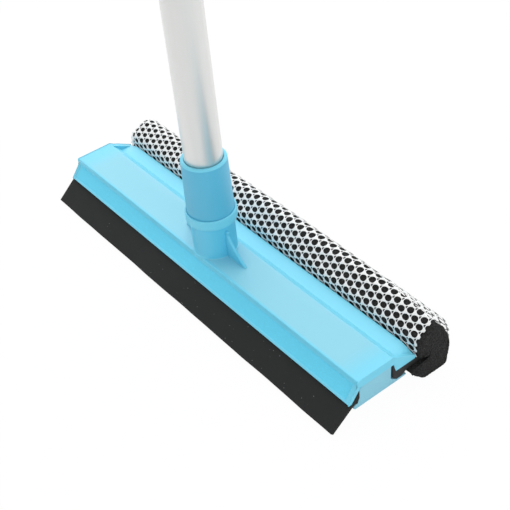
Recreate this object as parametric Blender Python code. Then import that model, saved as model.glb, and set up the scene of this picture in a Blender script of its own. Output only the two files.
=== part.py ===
"""Telescopic window squeegee: a moulded head with a rubber blade and a netted sponge, on a two-tube pole.

Metres, +Z up. The head stands on the blade's edge and the sponge, and the pole rises from it.
X runs along the head, +Y points from the blade to the sponge, and z = 0 is the surface it stands on.
Sections of the head are lists of (y, z), measured from the pole's axis and from the plate's flat top.
"""

import math

import bmesh
import bpy
from mathutils import Vector

# Fits
CLEARANCE = 0.0003
SLIDE_FIT = 0.0004

# Head plate
HEAD_LENGTH = 0.250
STAND_HEIGHT = 0.025
TOP_FRONT = 0.0118
TOP_REAR = 0.0108
PLATE_THICKNESS = 0.0042
BAND_HEIGHT = 0.0034
LIP_REACH = 0.0066
LIP_DROP = 0.0117
LIP_THICKNESS = 0.0017
RECESS_DEPTH = 0.0005
RECESS_MARGIN = 0.0028
RECESS_FOOT = 0.0012
SLOPE_RUN = 0.0069
GROOVE_DEPTH = 0.0076
SHELF_WIDTH = 0.0071
SHELF_THICKNESS = 0.0018
HOOK_THICKNESS = 0.0042
WEB_THICKNESS = 0.0012

# Screw socket on the plate
BOSS_RADIUS = 0.0118
BOSS_HEIGHT = 0.0264
COLLAR_RADIUS = 0.0138
COLLAR_HEIGHT = 0.0056
COLLAR_LIP = 0.0008
COLLAR_RECESS = 0.0030
SOCKET_FLOOR = 0.0050
FIN_REACH = 0.0263
FIN_HEIGHT = 0.0165
FIN_THICKNESS = 0.0015

# Channel under the plate
CHANNEL_INSET = 0.0006
CHANNEL_FRONT = 0.0104
CHANNEL_REAR = 0.0100
CHANNEL_HEIGHT = 0.0133
CHANNEL_WALL = 0.0018
CHANNEL_FLOOR = 0.0024
FRONT_LEDGE = 0.0038
REAR_LEDGE = 0.0096
LEDGE_BEND_SHARE = 0.4
LEDGE_THICKNESS = 0.0010

# Screws that hold the channel
SCREW_COUNT = 6
SCREW_END_MARGIN = 0.0150
SCREW_SHANK = 0.0013
SCREW_HEAD = 0.0029
SCREW_HEAD_HEIGHT = 0.0010
SCREW_CROWN_SHARE = 0.9
SCREW_RIM_SHARE = 0.4
SCREW_LENGTH = 0.0090
POST_WALL = 0.0016

# Rubber blade
BLADE_OVERHANG = 0.0007
BLADE_REACH = 0.0280
BLADE_TIP = 0.0022
BLADE_ROOT = 0.0028
BEAD_TOP = 0.0014

# Sponge, its carrier strip and its net
SPONGE_INSET = 0.0002
SPONGE_SHIFT = 0.0025
CARRIER_INSET = 0.0013
TONGUE_THICKNESS = 0.0030
TONGUE_SEAT_SHARE = 1.8
TONGUE_HEEL_SHARE = 1.3
TONGUE_EMBED = 0.0050
SPONGE_REACH = 0.0466
SPONGE_TOP = 0.0090
SPONGE_CREST = 0.0158
SHOULDER_HEIGHT = 0.0006
BELLY_DEPTH = 0.0095
SPONGE_LOBE = 0.0212
LOBE_DROP = 0.0174
SHOULDER_ROUND = 0.0045
CREST_ROUND = 0.0060
BELLY_ROUND = 0.0140
HEEL_ROUND = 0.0020
HEEL_INSET = 0.0016
LOBE_ROUND = 0.0040
LOBE_FLAT = 0.0074
LOBE_TIP_ROUND = 0.0010
LOBE_TIP_INSET = 0.0004
LOBE_TIP_RISE = 0.0018
NET_THICKNESS = 0.0007
NET_STRAND = 0.0019
NET_ROWS = 13
NET_COLUMNS = 18
NET_END_GAP = 0.0016
NET_HEM = 0.0016

# Ferrule that screws into the socket
FERRULE_FOOT_RADIUS = 0.0127
FERRULE_TOP_RADIUS = 0.0121
FERRULE_HEIGHT = 0.0330
CUT_REACH_SHARE = 1.3
RIM_ROUND = 0.0009
RIM_BEND_SHARE = 0.3
STEM_RADIUS = 0.0095
STEM_LENGTH = 0.0180
STEM_WALL = 0.0020
WASHER_THICKNESS = 0.0010
TUBE_SEAT = 0.0040
RIVET_RADIUS = 0.0016
RIVET_HEAD = 0.0030
RIVET_HEAD_HEIGHT = 0.0010
RIVET_HEIGHT = 0.0140
RIVET_BEARING = 148.0

# Pole
INNER_RADIUS = 0.0100
INNER_WALL = 0.0009
INNER_HEADROOM = 0.0130
OUTER_RADIUS = 0.0125
OUTER_WALL = 0.0010
OUTER_LENGTH = 0.4100
OUTER_START = 0.1800
BUSH_LENGTH = 0.0200
STOP_LENGTH = 0.0060
PLUG_DEPTH = 0.0150
PLUG_TAPER_SHARE = 0.9
PLUG_SKIRT_SHARE = 0.85
PLUG_FLANGE = 0.0020

# Twist lock on the mouth of the outer tube
LOCK_BODY_RADIUS = 0.0148
LOCK_SLEEVE = 0.0260
LOCK_NECK = 0.0120
NECK_RADIUS = 0.0134
COLLET_LENGTH = 0.0100
COLLET_FOOT_RADIUS = 0.0116
COLLET_SLIT = 0.0016
NUT_RADIUS = 0.0170
NUT_WALL = 0.0024
NUT_EASE_SHARE = 0.4
NUT_RISE_SHARE = 0.6
NUT_CROWN_SHARE = 0.3
NUT_FLUTE = 0.0006
NUT_FLUTES = 12
NUT_TRAVEL = 0.0014

# Handle
GRIP_RADIUS = 0.0160
GRIP_LENGTH = 0.1150
GRIP_WAIST = 0.0012
GRIP_ROUND = 0.0030
GRIP_RIBS = 5
GRIP_RIB_DEPTH = 0.0007
GRIP_GROOVE_SHARE = 0.3
CAP_SKIRT = 0.0180
CAP_HEIGHT = 0.0100
CAP_LINE = ((1.0, 0.4), (0.85, 0.8), (0.6, 1.0))
TAB_WIDTH = 0.0180
TAB_HEIGHT = 0.0240
TAB_THICKNESS = 0.0060
HANG_HOLE = 0.0046

ROUND = 32

# Shares of a size, where a section bends between two of its ends
FACE_SHARE = 0.6
LEDGE_SHARE = 0.3
TIP_SHARE = 0.66
TIP_ROUND = 0.75
STRAND_SLANT = 1.4
SMALL_ROUND = 16
HOLE_ROUND = 20
TAB_ROUND = 12

# The blade stands a little past both ends of the plate, and the sponge and its carrier a little short
BLADE_LENGTH = HEAD_LENGTH + 2 * BLADE_OVERHANG
SPONGE_LENGTH = HEAD_LENGTH - 2 * SPONGE_INSET
CARRIER_LENGTH = HEAD_LENGTH - 2 * CARRIER_INSET

# Everything is centred on the object's own box, so the pole's axis stands off the origin
NET_BACK = SPONGE_REACH + CLEARANCE + NET_THICKNESS
SPONGE_RIGHT = SPONGE_LENGTH / 2 + SPONGE_SHIFT
HEAD_LEFT = max(BLADE_LENGTH, HEAD_LENGTH) / 2
POLE_X = (HEAD_LEFT - max(SPONGE_RIGHT, HEAD_LEFT)) / 2
POLE_Y = (BLADE_REACH - NET_BACK) / 2
CARRIER_SHIFT = min(SPONGE_SHIFT, (HEAD_LENGTH - CARRIER_LENGTH) / 2)


def clear_scene():
    for obj in list(bpy.data.objects):
        bpy.data.objects.remove(obj, do_unlink=True)


def material(name, color, roughness, metallic=0.0):
    made = bpy.data.materials.new(name)
    made.use_nodes = True
    shader = made.node_tree.nodes["Principled BSDF"]
    shader.inputs["Base Color"].default_value = (*color, 1.0)
    shader.inputs["Roughness"].default_value = roughness
    shader.inputs["Metallic"].default_value = metallic
    made.diffuse_color = (*color, 1.0)
    return made


def new_object(name, bm, finish, height=0.0, smooth=True, x=POLE_X, y=POLE_Y):
    """Names a mesh and stands it on the pole's axis, this far above the plate's flat top."""
    bmesh.ops.recalc_face_normals(bm, faces=bm.faces)
    mesh = bpy.data.meshes.new(name)
    bm.to_mesh(mesh)
    bm.free()
    if smooth:
        mesh.shade_smooth()
        mesh.set_sharp_from_angle(angle=math.radians(35))
    obj = bpy.data.objects.new(name, mesh)
    obj.location = (x, y, STAND_HEIGHT + height)
    obj.data.materials.append(finish)
    bpy.context.scene.collection.objects.link(obj)
    return obj


def helper(name, bm, height=0.0):
    """A solid that only shapes another one."""
    obj = new_object(name, bm, materials["helper"], height)
    obj.hide_render = True
    obj.display_type = "WIRE"
    return obj


def boolean(obj, other, operation):
    step = obj.modifiers.new(other.name, "BOOLEAN")
    step.operation = operation
    step.solver = "EXACT"
    step.object = other


def prism(section, start, end):
    """A section of (y, z) points drawn out along X."""
    bm = bmesh.new()
    near = [bm.verts.new((start, y, z)) for y, z in section]
    far = [bm.verts.new((end, y, z)) for y, z in section]
    bm.faces.new(near)
    bm.faces.new(list(reversed(far)))
    for i in range(len(section)):
        j = (i + 1) % len(section)
        bm.faces.new((near[i], near[j], far[j], far[i]))
    return bm


def turned(profile, count=ROUND, shape=None):
    """A closed profile of (radius, z) turned about Z. shape(radius, angle) may flute it."""
    bm = bmesh.new()
    rings = []
    for radius, z in profile:
        if radius < 1e-7:
            rings.append([bm.verts.new((0, 0, z))] * count)
            continue
        ring = []
        for k in range(count):
            angle = 2 * math.pi * k / count
            r = shape(radius, angle) if shape else radius
            ring.append(bm.verts.new((r * math.cos(angle), r * math.sin(angle), z)))
        rings.append(ring)
    for i in range(len(rings)):
        one = rings[i]
        two = rings[(i + 1) % len(rings)]
        for k in range(count):
            n = (k + 1) % count
            corners = []
            for vert in (one[k], one[n], two[n], two[k]):
                if vert not in corners:
                    corners.append(vert)
            if len(corners) > 2:
                bm.faces.new(corners)
    return bm


def box(size, centre):
    bm = bmesh.new()
    bmesh.ops.create_cube(bm, size=1.0)
    bmesh.ops.scale(bm, vec=size, verts=bm.verts)
    bmesh.ops.translate(bm, vec=centre, verts=bm.verts)
    return bm


def merged(parts):
    """Puts solids that don't touch into one helper mesh."""
    whole = bmesh.new()
    for part in parts:
        mesh = bpy.data.meshes.new("part")
        part.to_mesh(mesh)
        part.free()
        whole.from_mesh(mesh)
        bpy.data.meshes.remove(mesh)
    return whole


def filleted(corners, steps=4):
    """An open outline through (y, z, radius) corners, with each corner rounded to its radius."""
    points = []
    for i, (y, z, radius) in enumerate(corners):
        here = Vector((y, z))
        if radius == 0 or i in (0, len(corners) - 1):
            points.append(here)
            continue
        back = (Vector(corners[i - 1][:2]) - here).normalized()
        on = (Vector(corners[i + 1][:2]) - here).normalized()
        half = back.angle(on) / 2
        centre = here + (back + on).normalized() * radius / math.sin(half)
        first = here + back * radius / math.tan(half) - centre
        last = here + on * radius / math.tan(half) - centre
        sweep = math.atan2(first.x * last.y - first.y * last.x, first.dot(last))
        for k in range(steps + 1):
            turn = sweep * k / steps
            arm = Vector((
                first.x * math.cos(turn) - first.y * math.sin(turn),
                first.x * math.sin(turn) + first.y * math.cos(turn),
            ))
            points.append(centre + arm)
    return points


def resampled(points, count):
    """The same outline with count equal steps along it."""
    lengths = [(b - a).length for a, b in zip(points, points[1:])]
    total = sum(lengths)
    result = [points[0].copy()]
    for k in range(1, count):
        left = total * k / count
        for a, b, length in zip(points, points[1:], lengths):
            if left <= length:
                result.append(a.lerp(b, left / length))
                break
            left -= length
    result.append(points[-1].copy())
    return result


def offset_outline(points, distance):
    """Moves an open outline sideways, keeping each straight stretch at this distance."""
    normals = []
    for a, b in zip(points, points[1:]):
        along = (b - a).normalized()
        normals.append(Vector((-along.y, along.x)))
    moved = []
    for i, point in enumerate(points):
        before = normals[max(i - 1, 0)]
        after = normals[min(i, len(normals) - 1)]
        bisector = (before + after).normalized()
        moved.append(point + bisector * distance / bisector.dot(after))
    return moved


# Section values that several pieces share
UNDERSIDE = -PLATE_THICKNESS
LIP_FOOT_Y = -(TOP_FRONT + LIP_REACH)
LIP_SLOPE = LIP_REACH / (LIP_DROP - BAND_HEIGHT)
LIP_HYPOTENUSE = math.hypot(1.0, LIP_SLOPE)
GROOVE_Y = TOP_REAR + SLOPE_RUN
SHELF_TIP = GROOVE_Y + SHELF_WIDTH
SHELF_UNDERSIDE = -(GROOVE_DEPTH + SHELF_THICKNESS)
HOOK_TOP_Y = CHANNEL_REAR + 4 * CLEARANCE
HOOK_ROOT_Y = GROOVE_Y - HOOK_THICKNESS - CLEARANCE * 3
CHANNEL_TOP = UNDERSIDE - CLEARANCE
CHANNEL_FOOT = CHANNEL_TOP - CHANNEL_HEIGHT
CAVITY_FLOOR = CHANNEL_FOOT + CHANNEL_FLOOR
CHANNEL_BEND = CHANNEL_TOP - (CHANNEL_HEIGHT - CHANNEL_FLOOR) * FACE_SHARE
CHANNEL_STEP_Y = CHANNEL_REAR + REAR_LEDGE * LEDGE_SHARE
CHANNEL_STEP_Z = CHANNEL_FOOT + LEDGE_THICKNESS * 1.5
FERRULE_FOOT = BOSS_HEIGHT - COLLAR_RECESS + 2 * CLEARANCE + WASHER_THICKNESS
INNER_START = FERRULE_FOOT + TUBE_SEAT + CLEARANCE
OUTER_TOP = OUTER_START + OUTER_LENGTH
INNER_TOP = OUTER_TOP - CAP_SKIRT - PLUG_FLANGE - INNER_HEADROOM
INNER_LENGTH = INNER_TOP - INNER_START


def lip_outside(z):
    """The lip's outer face, as y at a height."""
    return -TOP_FRONT - (-BAND_HEIGHT - z) * LIP_SLOPE


def lip_inside(z, away=0.0):
    """The lip's inner face, or a line this far inside it."""
    return lip_outside(z) + (LIP_THICKNESS + away) * LIP_HYPOTENUSE


def hook_inside(z, away=0.0):
    """The face of the hook that holds the sponge's carrier, or a line this far in front of it."""
    share = (UNDERSIDE - z) / (UNDERSIDE - SHELF_UNDERSIDE)
    return HOOK_TOP_Y + (HOOK_ROOT_Y - HOOK_TOP_Y) * share - away


def plate_section():
    """The plate's section, starting at the front of its flat top and running round through the shelf."""
    return [
        (-TOP_FRONT, 0.0),
        (TOP_REAR, 0.0),
        (GROOVE_Y, -GROOVE_DEPTH),
        (SHELF_TIP, -GROOVE_DEPTH),
        (SHELF_TIP, SHELF_UNDERSIDE),
        (HOOK_ROOT_Y, SHELF_UNDERSIDE),
        (HOOK_TOP_Y, UNDERSIDE),
        (lip_inside(UNDERSIDE), UNDERSIDE),
        (lip_inside(-LIP_DROP), -LIP_DROP),
        (LIP_FOOT_Y, -LIP_DROP),
        (-TOP_FRONT, -BAND_HEIGHT),
    ]


def plate_body():
    """The plate with its rear groove, closed at both ends by thin webs."""
    section = plate_section()
    groove = 2
    half = HEAD_LENGTH / 2
    web = half - WEB_THICKNESS
    bm = bmesh.new()
    rows = [[bm.verts.new((x, y, z)) for y, z in section] for x in (-half, -web, web, half)]
    for row in (rows[0], rows[3]):
        bm.faces.new([vert for i, vert in enumerate(row) if i != groove])
    for row in (rows[1], rows[2]):
        bm.faces.new(row[groove - 1:groove + 2])
    for k, (one, two) in enumerate(zip(rows, rows[1:])):
        loop = [i for i in range(len(section)) if k == 1 or i != groove]
        for a, b in zip(loop, loop[1:] + loop[:1]):
            bm.faces.new((one[a], one[b], two[b], two[a]))
    for row in (rows[0], rows[3]):
        bm.verts.remove(row[groove])
    return bm


def boss_body():
    """The round socket that the ferrule screws into, with a collar round its mouth."""
    mouth = COLLAR_RADIUS - COLLAR_LIP
    bore = STEM_RADIUS + CLEARANCE
    recess = BOSS_HEIGHT - COLLAR_RECESS
    collar = BOSS_HEIGHT - COLLAR_HEIGHT
    return turned([
        (0.0, SOCKET_FLOOR),
        (bore, SOCKET_FLOOR),
        (bore, recess),
        (mouth, recess),
        (mouth, BOSS_HEIGHT),
        (COLLAR_RADIUS - COLLAR_LIP / 3, BOSS_HEIGHT),
        (COLLAR_RADIUS, BOSS_HEIGHT - COLLAR_LIP / 2),
        (COLLAR_RADIUS, collar),
        (BOSS_RADIUS, collar - (COLLAR_RADIUS - BOSS_RADIUS) / 2),
        (BOSS_RADIUS, -PLATE_THICKNESS / 2),
        (0.0, -PLATE_THICKNESS / 2),
    ])


def fin_body(side):
    """A three-cornered fin that braces the socket along the head."""
    sunk = PLATE_THICKNESS / 3
    inner = BOSS_RADIUS - COLLAR_LIP
    outline = [
        (inner, -sunk),
        (FIN_REACH, -sunk),
        (FIN_REACH, CLEARANCE),
        (BOSS_RADIUS + FIN_THICKNESS / 2, FIN_HEIGHT - FIN_THICKNESS / 2),
        (inner, FIN_HEIGHT),
    ]
    bm = bmesh.new()
    half = FIN_THICKNESS / 2
    front = [bm.verts.new((side * x, -half, z)) for x, z in outline]
    back = [bm.verts.new((side * x, half, z)) for x, z in outline]
    bm.faces.new(front)
    bm.faces.new(list(reversed(back)))
    for i in range(len(outline)):
        j = (i + 1) % len(outline)
        bm.faces.new((front[i], front[j], back[j], back[i]))
    bmesh.ops.recalc_face_normals(bm, faces=bm.faces)
    return bm


def screw_places():
    """Where the screws stand along the head: in a row under the middle of the plate."""
    reach = HEAD_LENGTH / 2 - SCREW_END_MARGIN
    return [-reach + 2 * reach * k / (SCREW_COUNT - 1) for k in range(SCREW_COUNT)]


def moved(bm, x, y=0.0):
    bmesh.ops.translate(bm, vec=(x, y, 0.0), verts=bm.verts)
    return bm


def make_plate():
    plate = new_object("head_plate", plate_body(), materials["blue plastic"])
    boolean(plate, helper("socket_shape", boss_body()), "UNION")
    fins = merged([fin_body(side) for side in (-1, 1)])
    boolean(plate, helper("fin_shapes", fins), "UNION")
    pilot = SCREW_SHANK + CLEARANCE
    foot = CAVITY_FLOOR + CLEARANCE
    rise = UNDERSIDE + PLATE_THICKNESS / 3
    posts = []
    for x in screw_places():
        post = turned([
            (0.0, UNDERSIDE - CLEARANCE),
            (pilot, UNDERSIDE - CLEARANCE),
            (pilot, foot),
            (pilot + POST_WALL, foot),
            (pilot + POST_WALL, rise),
            (0.0, rise),
        ], SMALL_ROUND)
        posts.append(moved(post, x))
    boolean(plate, helper("post_shapes", merged(posts)), "UNION")
    top = -BAND_HEIGHT
    low = -LIP_DROP + RECESS_FOOT
    deep = RECESS_DEPTH * LIP_HYPOTENUSE
    proud = LIP_THICKNESS
    reach = HEAD_LENGTH / 2 - RECESS_MARGIN
    panel = [
        (lip_outside(top) + deep, top),
        (lip_outside(low) + deep, low),
        (lip_outside(low) - proud, low),
        (lip_outside(top) - proud, top),
    ]
    boolean(plate, helper("panel_cut", prism(panel, -reach, reach)), "DIFFERENCE")


def make_channel():
    """The clamping channel: it closes the plate from below and traps the blade and the carrier."""
    half = HEAD_LENGTH / 2 - CHANNEL_INSET
    ledge = CAVITY_FLOOR
    outline = [
        (-CHANNEL_FRONT, CHANNEL_TOP),
        (CHANNEL_REAR, CHANNEL_TOP),
        (CHANNEL_REAR - CLEARANCE, ledge + CHANNEL_FLOOR * 0.8),
        (CHANNEL_STEP_Y, CHANNEL_STEP_Z),
        (CHANNEL_REAR + REAR_LEDGE, CHANNEL_FOOT + LEDGE_THICKNESS),
        (CHANNEL_REAR + REAR_LEDGE, CHANNEL_FOOT + LEDGE_THICKNESS / 4),
        (CHANNEL_REAR + REAR_LEDGE * LEDGE_BEND_SHARE, CHANNEL_FOOT),
        (-CHANNEL_FRONT - FRONT_LEDGE + LEDGE_THICKNESS, CHANNEL_FOOT),
        (-CHANNEL_FRONT - FRONT_LEDGE, CHANNEL_FOOT + LEDGE_THICKNESS),
        (-CHANNEL_FRONT - FRONT_LEDGE, ledge - CLEARANCE),
        (-CHANNEL_FRONT - FRONT_LEDGE / 3, ledge + LEDGE_THICKNESS),
        (-CHANNEL_FRONT, CHANNEL_BEND),
    ]
    channel = new_object("base_channel", prism(outline, -half, half), materials["pale plastic"])
    inside = HEAD_LENGTH - 2 * (CHANNEL_INSET + CHANNEL_WALL)
    height = CHANNEL_HEIGHT - CHANNEL_FLOOR
    size = (inside, CHANNEL_FRONT + CHANNEL_REAR - 2 * CHANNEL_WALL, 2 * height)
    centre = (0.0, (CHANNEL_REAR - CHANNEL_FRONT) / 2, CAVITY_FLOOR + height)
    boolean(channel, helper("channel_cut", box(size, centre)), "DIFFERENCE")
    shank = SCREW_SHANK + CLEARANCE
    head = SCREW_HEAD + CLEARANCE
    seat = CHANNEL_FOOT + SCREW_HEAD_HEIGHT + CLEARANCE
    holes = []
    for x in screw_places():
        hole = turned([
            (0.0, CAVITY_FLOOR + CHANNEL_FLOOR),
            (0.0, CHANNEL_FOOT - CHANNEL_FLOOR),
            (head, CHANNEL_FOOT - CHANNEL_FLOOR),
            (head, seat),
            (shank, seat),
            (shank, CAVITY_FLOOR + CHANNEL_FLOOR),
        ], SMALL_ROUND)
        holes.append(moved(hole, x))
    boolean(channel, helper("screw_cuts", merged(holes)), "DIFFERENCE")


def make_screws():
    for number, x in enumerate(screw_places(), 1):
        body = turned([
            (0.0, 0.0),
            (SCREW_HEAD * SCREW_CROWN_SHARE, 0.0),
            (SCREW_HEAD, SCREW_HEAD_HEIGHT * SCREW_RIM_SHARE),
            (SCREW_HEAD, SCREW_HEAD_HEIGHT),
            (SCREW_SHANK, SCREW_HEAD_HEIGHT),
            (SCREW_SHANK, SCREW_LENGTH - SCREW_SHANK),
            (0.0, SCREW_LENGTH),
        ], SMALL_ROUND)
        new_object(f"base_screw_{number}", body, materials["steel"], CHANNEL_FOOT, x=POLE_X + x)


def make_blade():
    """The rubber blade: a wedge bead in the slot, and a tapering lip that leans out to the floor."""
    top = CHANNEL_TOP - BEAD_TOP
    face = -CHANNEL_FRONT - CLEARANCE
    shoulder = -CHANNEL_FRONT - FRONT_LEDGE / 3 - CLEARANCE * 1.4
    ledge = CAVITY_FLOOR + LEDGE_THICKNESS
    foot = -LIP_DROP
    outer = Vector((lip_inside(foot, CLEARANCE), foot))
    tip = Vector((-BLADE_REACH, -STAND_HEIGHT + BLADE_TIP * TIP_SHARE))
    low = Vector((-BLADE_REACH + BLADE_TIP * TIP_ROUND, -STAND_HEIGHT))
    along = (tip - outer).normalized()
    under = outer + Vector((-along.y, along.x)) * BLADE_ROOT
    section = [
        (lip_inside(top, CLEARANCE), top),
        tuple(outer),
        tuple(tip),
        tuple(low),
        tuple(under),
        (shoulder, ledge),
        (face, CHANNEL_BEND),
        (face, top),
    ]
    half = BLADE_LENGTH / 2
    new_object("squeegee_blade", prism(section, -half, half), materials["black rubber"])


def tongue_section():
    """The carrier strip: a head behind the hook and a tongue that runs into the sponge."""
    top = SHELF_UNDERSIDE - CLEARANCE
    end = SHELF_TIP + CLEARANCE * 4 + NET_THICKNESS + TONGUE_EMBED
    head_top = CHANNEL_TOP - CLEARANCE * 2
    face = CHANNEL_REAR + CLEARANCE
    ledge = CHANNEL_FOOT + CHANNEL_FLOOR * TONGUE_SEAT_SHARE
    step = CHANNEL_STEP_Z + CLEARANCE * 2
    return [
        (face, head_top),
        (hook_inside(head_top, CLEARANCE * 1.2), head_top),
        (hook_inside(top, CLEARANCE * 1.2), top),
        (end, top),
        (end, top - TONGUE_THICKNESS),
        (CHANNEL_REAR + REAR_LEDGE, top - TONGUE_THICKNESS * TONGUE_HEEL_SHARE),
        (CHANNEL_STEP_Y + REAR_LEDGE * LEDGE_SHARE, step),
        (CHANNEL_STEP_Y, step),
        (face, ledge + CLEARANCE * 1.5),
    ]


def sponge_outline():
    """The sponge's outer line, from the shelf over the top and the back to the lobe below."""
    front = SHELF_TIP + CLEARANCE * 2 + NET_THICKNESS
    floor = -STAND_HEIGHT + NET_THICKNESS + CLEARANCE
    crest = SHELF_TIP + SPONGE_CREST
    corners = [
        (front, SHELF_UNDERSIDE, 0.0),
        (front, SHOULDER_HEIGHT, SHOULDER_ROUND),
        (crest, SPONGE_TOP, CREST_ROUND),
        (SPONGE_REACH, -BELLY_DEPTH, BELLY_ROUND),
        (SPONGE_REACH - HEEL_INSET, floor, HEEL_ROUND),
        (SPONGE_LOBE + LOBE_FLAT, floor, LOBE_ROUND),
        (SPONGE_LOBE, -LOBE_DROP, LOBE_TIP_ROUND),
        (SPONGE_LOBE - LOBE_TIP_INSET, -LOBE_DROP + LOBE_TIP_RISE, 0.0),
    ]
    return resampled(filleted(corners), NET_ROWS + 3)


def make_sponge():
    tongue = tongue_section()
    carrier = prism(tongue, -CARRIER_LENGTH / 2, CARRIER_LENGTH / 2)
    new_object("sponge_carrier", carrier, materials["black rubber"], x=POLE_X + CARRIER_SHIFT)
    outline = [tuple(point) for point in sponge_outline()]
    end = tongue[3][0] + CLEARANCE
    top = tongue[3][1] + CLEARANCE
    slot = [
        (tongue[5][0] + CLEARANCE, tongue[5][1] - CLEARANCE * 2),
        (end, tongue[4][1] - CLEARANCE),
        (end, top),
        (outline[0][0], top),
    ]
    sponge = prism(outline + slot, -SPONGE_LENGTH / 2, SPONGE_LENGTH / 2)
    new_object("sponge_core", sponge, materials["black foam"], x=POLE_X + SPONGE_SHIFT)


class Net:
    """A sheet of crossing strands laid over the sponge, one row of crossings on each fold of its outline."""

    def __init__(self):
        outline = sponge_outline()
        self.inside = offset_outline(outline, CLEARANCE)
        self.outside = offset_outline(outline, CLEARANCE + NET_THICKNESS)
        self.step = (outline[1] - outline[0]).length
        self.first = 1
        self.last = self.first + NET_ROWS
        self.length = SPONGE_LENGTH - 2 * NET_END_GAP
        self.pitch = (self.length - 2 * NET_HEM) / NET_COLUMNS
        self.bm = bmesh.new()
        self.verts = {}
        self.edges = {}

    def corner(self, place, outer):
        """A mesh vertex at (along the head, row) on the sheet's inner or outer side."""
        key = (round(place[0], 7), round(place[1], 5), outer)
        if key not in self.verts:
            line = self.outside if outer else self.inside
            row = min(int(place[1] + 1e-6), len(line) - 2)
            point = line[row].lerp(line[row + 1], place[1] - row)
            x = place[0] - self.length / 2 + NET_HEM
            self.verts[key] = self.bm.verts.new((x, point.x, point.y))
        return self.verts[key]

    def patch(self, places):
        """One flat patch of the sheet. Its edges are counted, so that free ones get a wall."""
        for outer in (True, False):
            loop = [self.corner(place, outer) for place in places]
            self.bm.faces.new(loop if outer else list(reversed(loop)))
        for a, b in zip(places, places[1:] + places[:1]):
            here = ((round(a[0], 7), round(a[1], 5)), (round(b[0], 7), round(b[1], 5)))
            back = (here[1], here[0])
            if back in self.edges:
                del self.edges[back]
            else:
                self.edges[here] = (a, b)

    def strands(self):
        across = NET_STRAND / 2 * STRAND_SLANT
        down = across / self.step
        pitch = self.pitch
        for row in range(self.first, self.last + 1):
            even = (row - self.first) % 2 == 0
            count = NET_COLUMNS + 1 if even else NET_COLUMNS
            for k in range(count):
                x = k * pitch if even else (k + 0.5) * pitch
                at_left = even and k == 0
                at_right = even and k == NET_COLUMNS
                if row > self.first:
                    left = (x, row) if at_left else (x - across, row)
                    right = (x, row) if at_right else (x + across, row)
                    if row == self.last and not (at_left or at_right):
                        self.patch([left, (x, row - down), (x, row)])
                        self.patch([(x, row), (x, row - down), right])
                    else:
                        self.patch([left, (x, row - down), right])
                if row < self.last:
                    left = (x, row) if at_left else (x - across, row)
                    right = (x, row) if at_right else (x + across, row)
                    if row == self.first and not (at_left or at_right):
                        self.patch([(x, row), (x, row + down), left])
                        self.patch([right, (x, row + down), (x, row)])
                    else:
                        self.patch([right, (x, row + down), left])
                    if not at_right:
                        over = x + pitch / 2
                        self.patch([
                            (x, row + down),
                            (x + across, row),
                            (over, row + 1 - down),
                            (over - across, row + 1),
                        ])
                    if not at_left:
                        over = x - pitch / 2
                        self.patch([
                            (x - across, row),
                            (x, row + down),
                            (over + across, row + 1),
                            (over, row + 1 - down),
                        ])

    def hems(self):
        across = NET_STRAND / 2 * STRAND_SLANT
        down = across / self.step
        wide = self.pitch * NET_COLUMNS
        edge = NET_HEM / self.step
        low = self.first - edge
        high = self.last + edge
        for row in range(self.first, self.last):
            even = (row - self.first) % 2 == 0
            marks = [(0.0, row), (0.0, row + down)] if even else [(0.0, row)]
            marks += [(0.0, row + 1)] if even else [(0.0, row + 1 - down), (0.0, row + 1)]
            self.patch([(-NET_HEM, row)] + marks + [(-NET_HEM, row + 1)])
            turned_marks = [(wide, place[1]) for place in reversed(marks)]
            self.patch([(wide + NET_HEM, row + 1)] + turned_marks + [(wide + NET_HEM, row)])
        for row, beyond in ((self.first, low), (self.last, high)):
            even = (row - self.first) % 2 == 0
            middles = [k * self.pitch if even else (k + 0.5) * self.pitch
                       for k in range(NET_COLUMNS + 1 if even else NET_COLUMNS)]
            marks = {0.0, wide}
            for x in middles:
                marks |= {x - across, x, x + across}
            inner = sorted(x for x in marks if -1e-9 <= x <= wide + 1e-9)
            inner = [x for k, x in enumerate(inner) if k == 0 or x - inner[k - 1] > 1e-7]
            line = [(x, row) for x in [-NET_HEM] + inner + [wide + NET_HEM]]
            outer_line = [(-NET_HEM, beyond), (wide + NET_HEM, beyond)]
            if row == self.first:
                self.patch(outer_line + list(reversed(line)))
            else:
                self.patch(line + list(reversed(outer_line)))

    def finish(self):
        for a, b in self.edges.values():
            self.bm.faces.new((
                self.corner(a, True),
                self.corner(a, False),
                self.corner(b, False),
                self.corner(b, True),
            ))
        return self.bm


def make_net():
    net = Net()
    net.strands()
    net.hems()
    new_object("sponge_net", net.finish(), materials["white net"], smooth=False, x=POLE_X + SPONGE_SHIFT)


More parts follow.
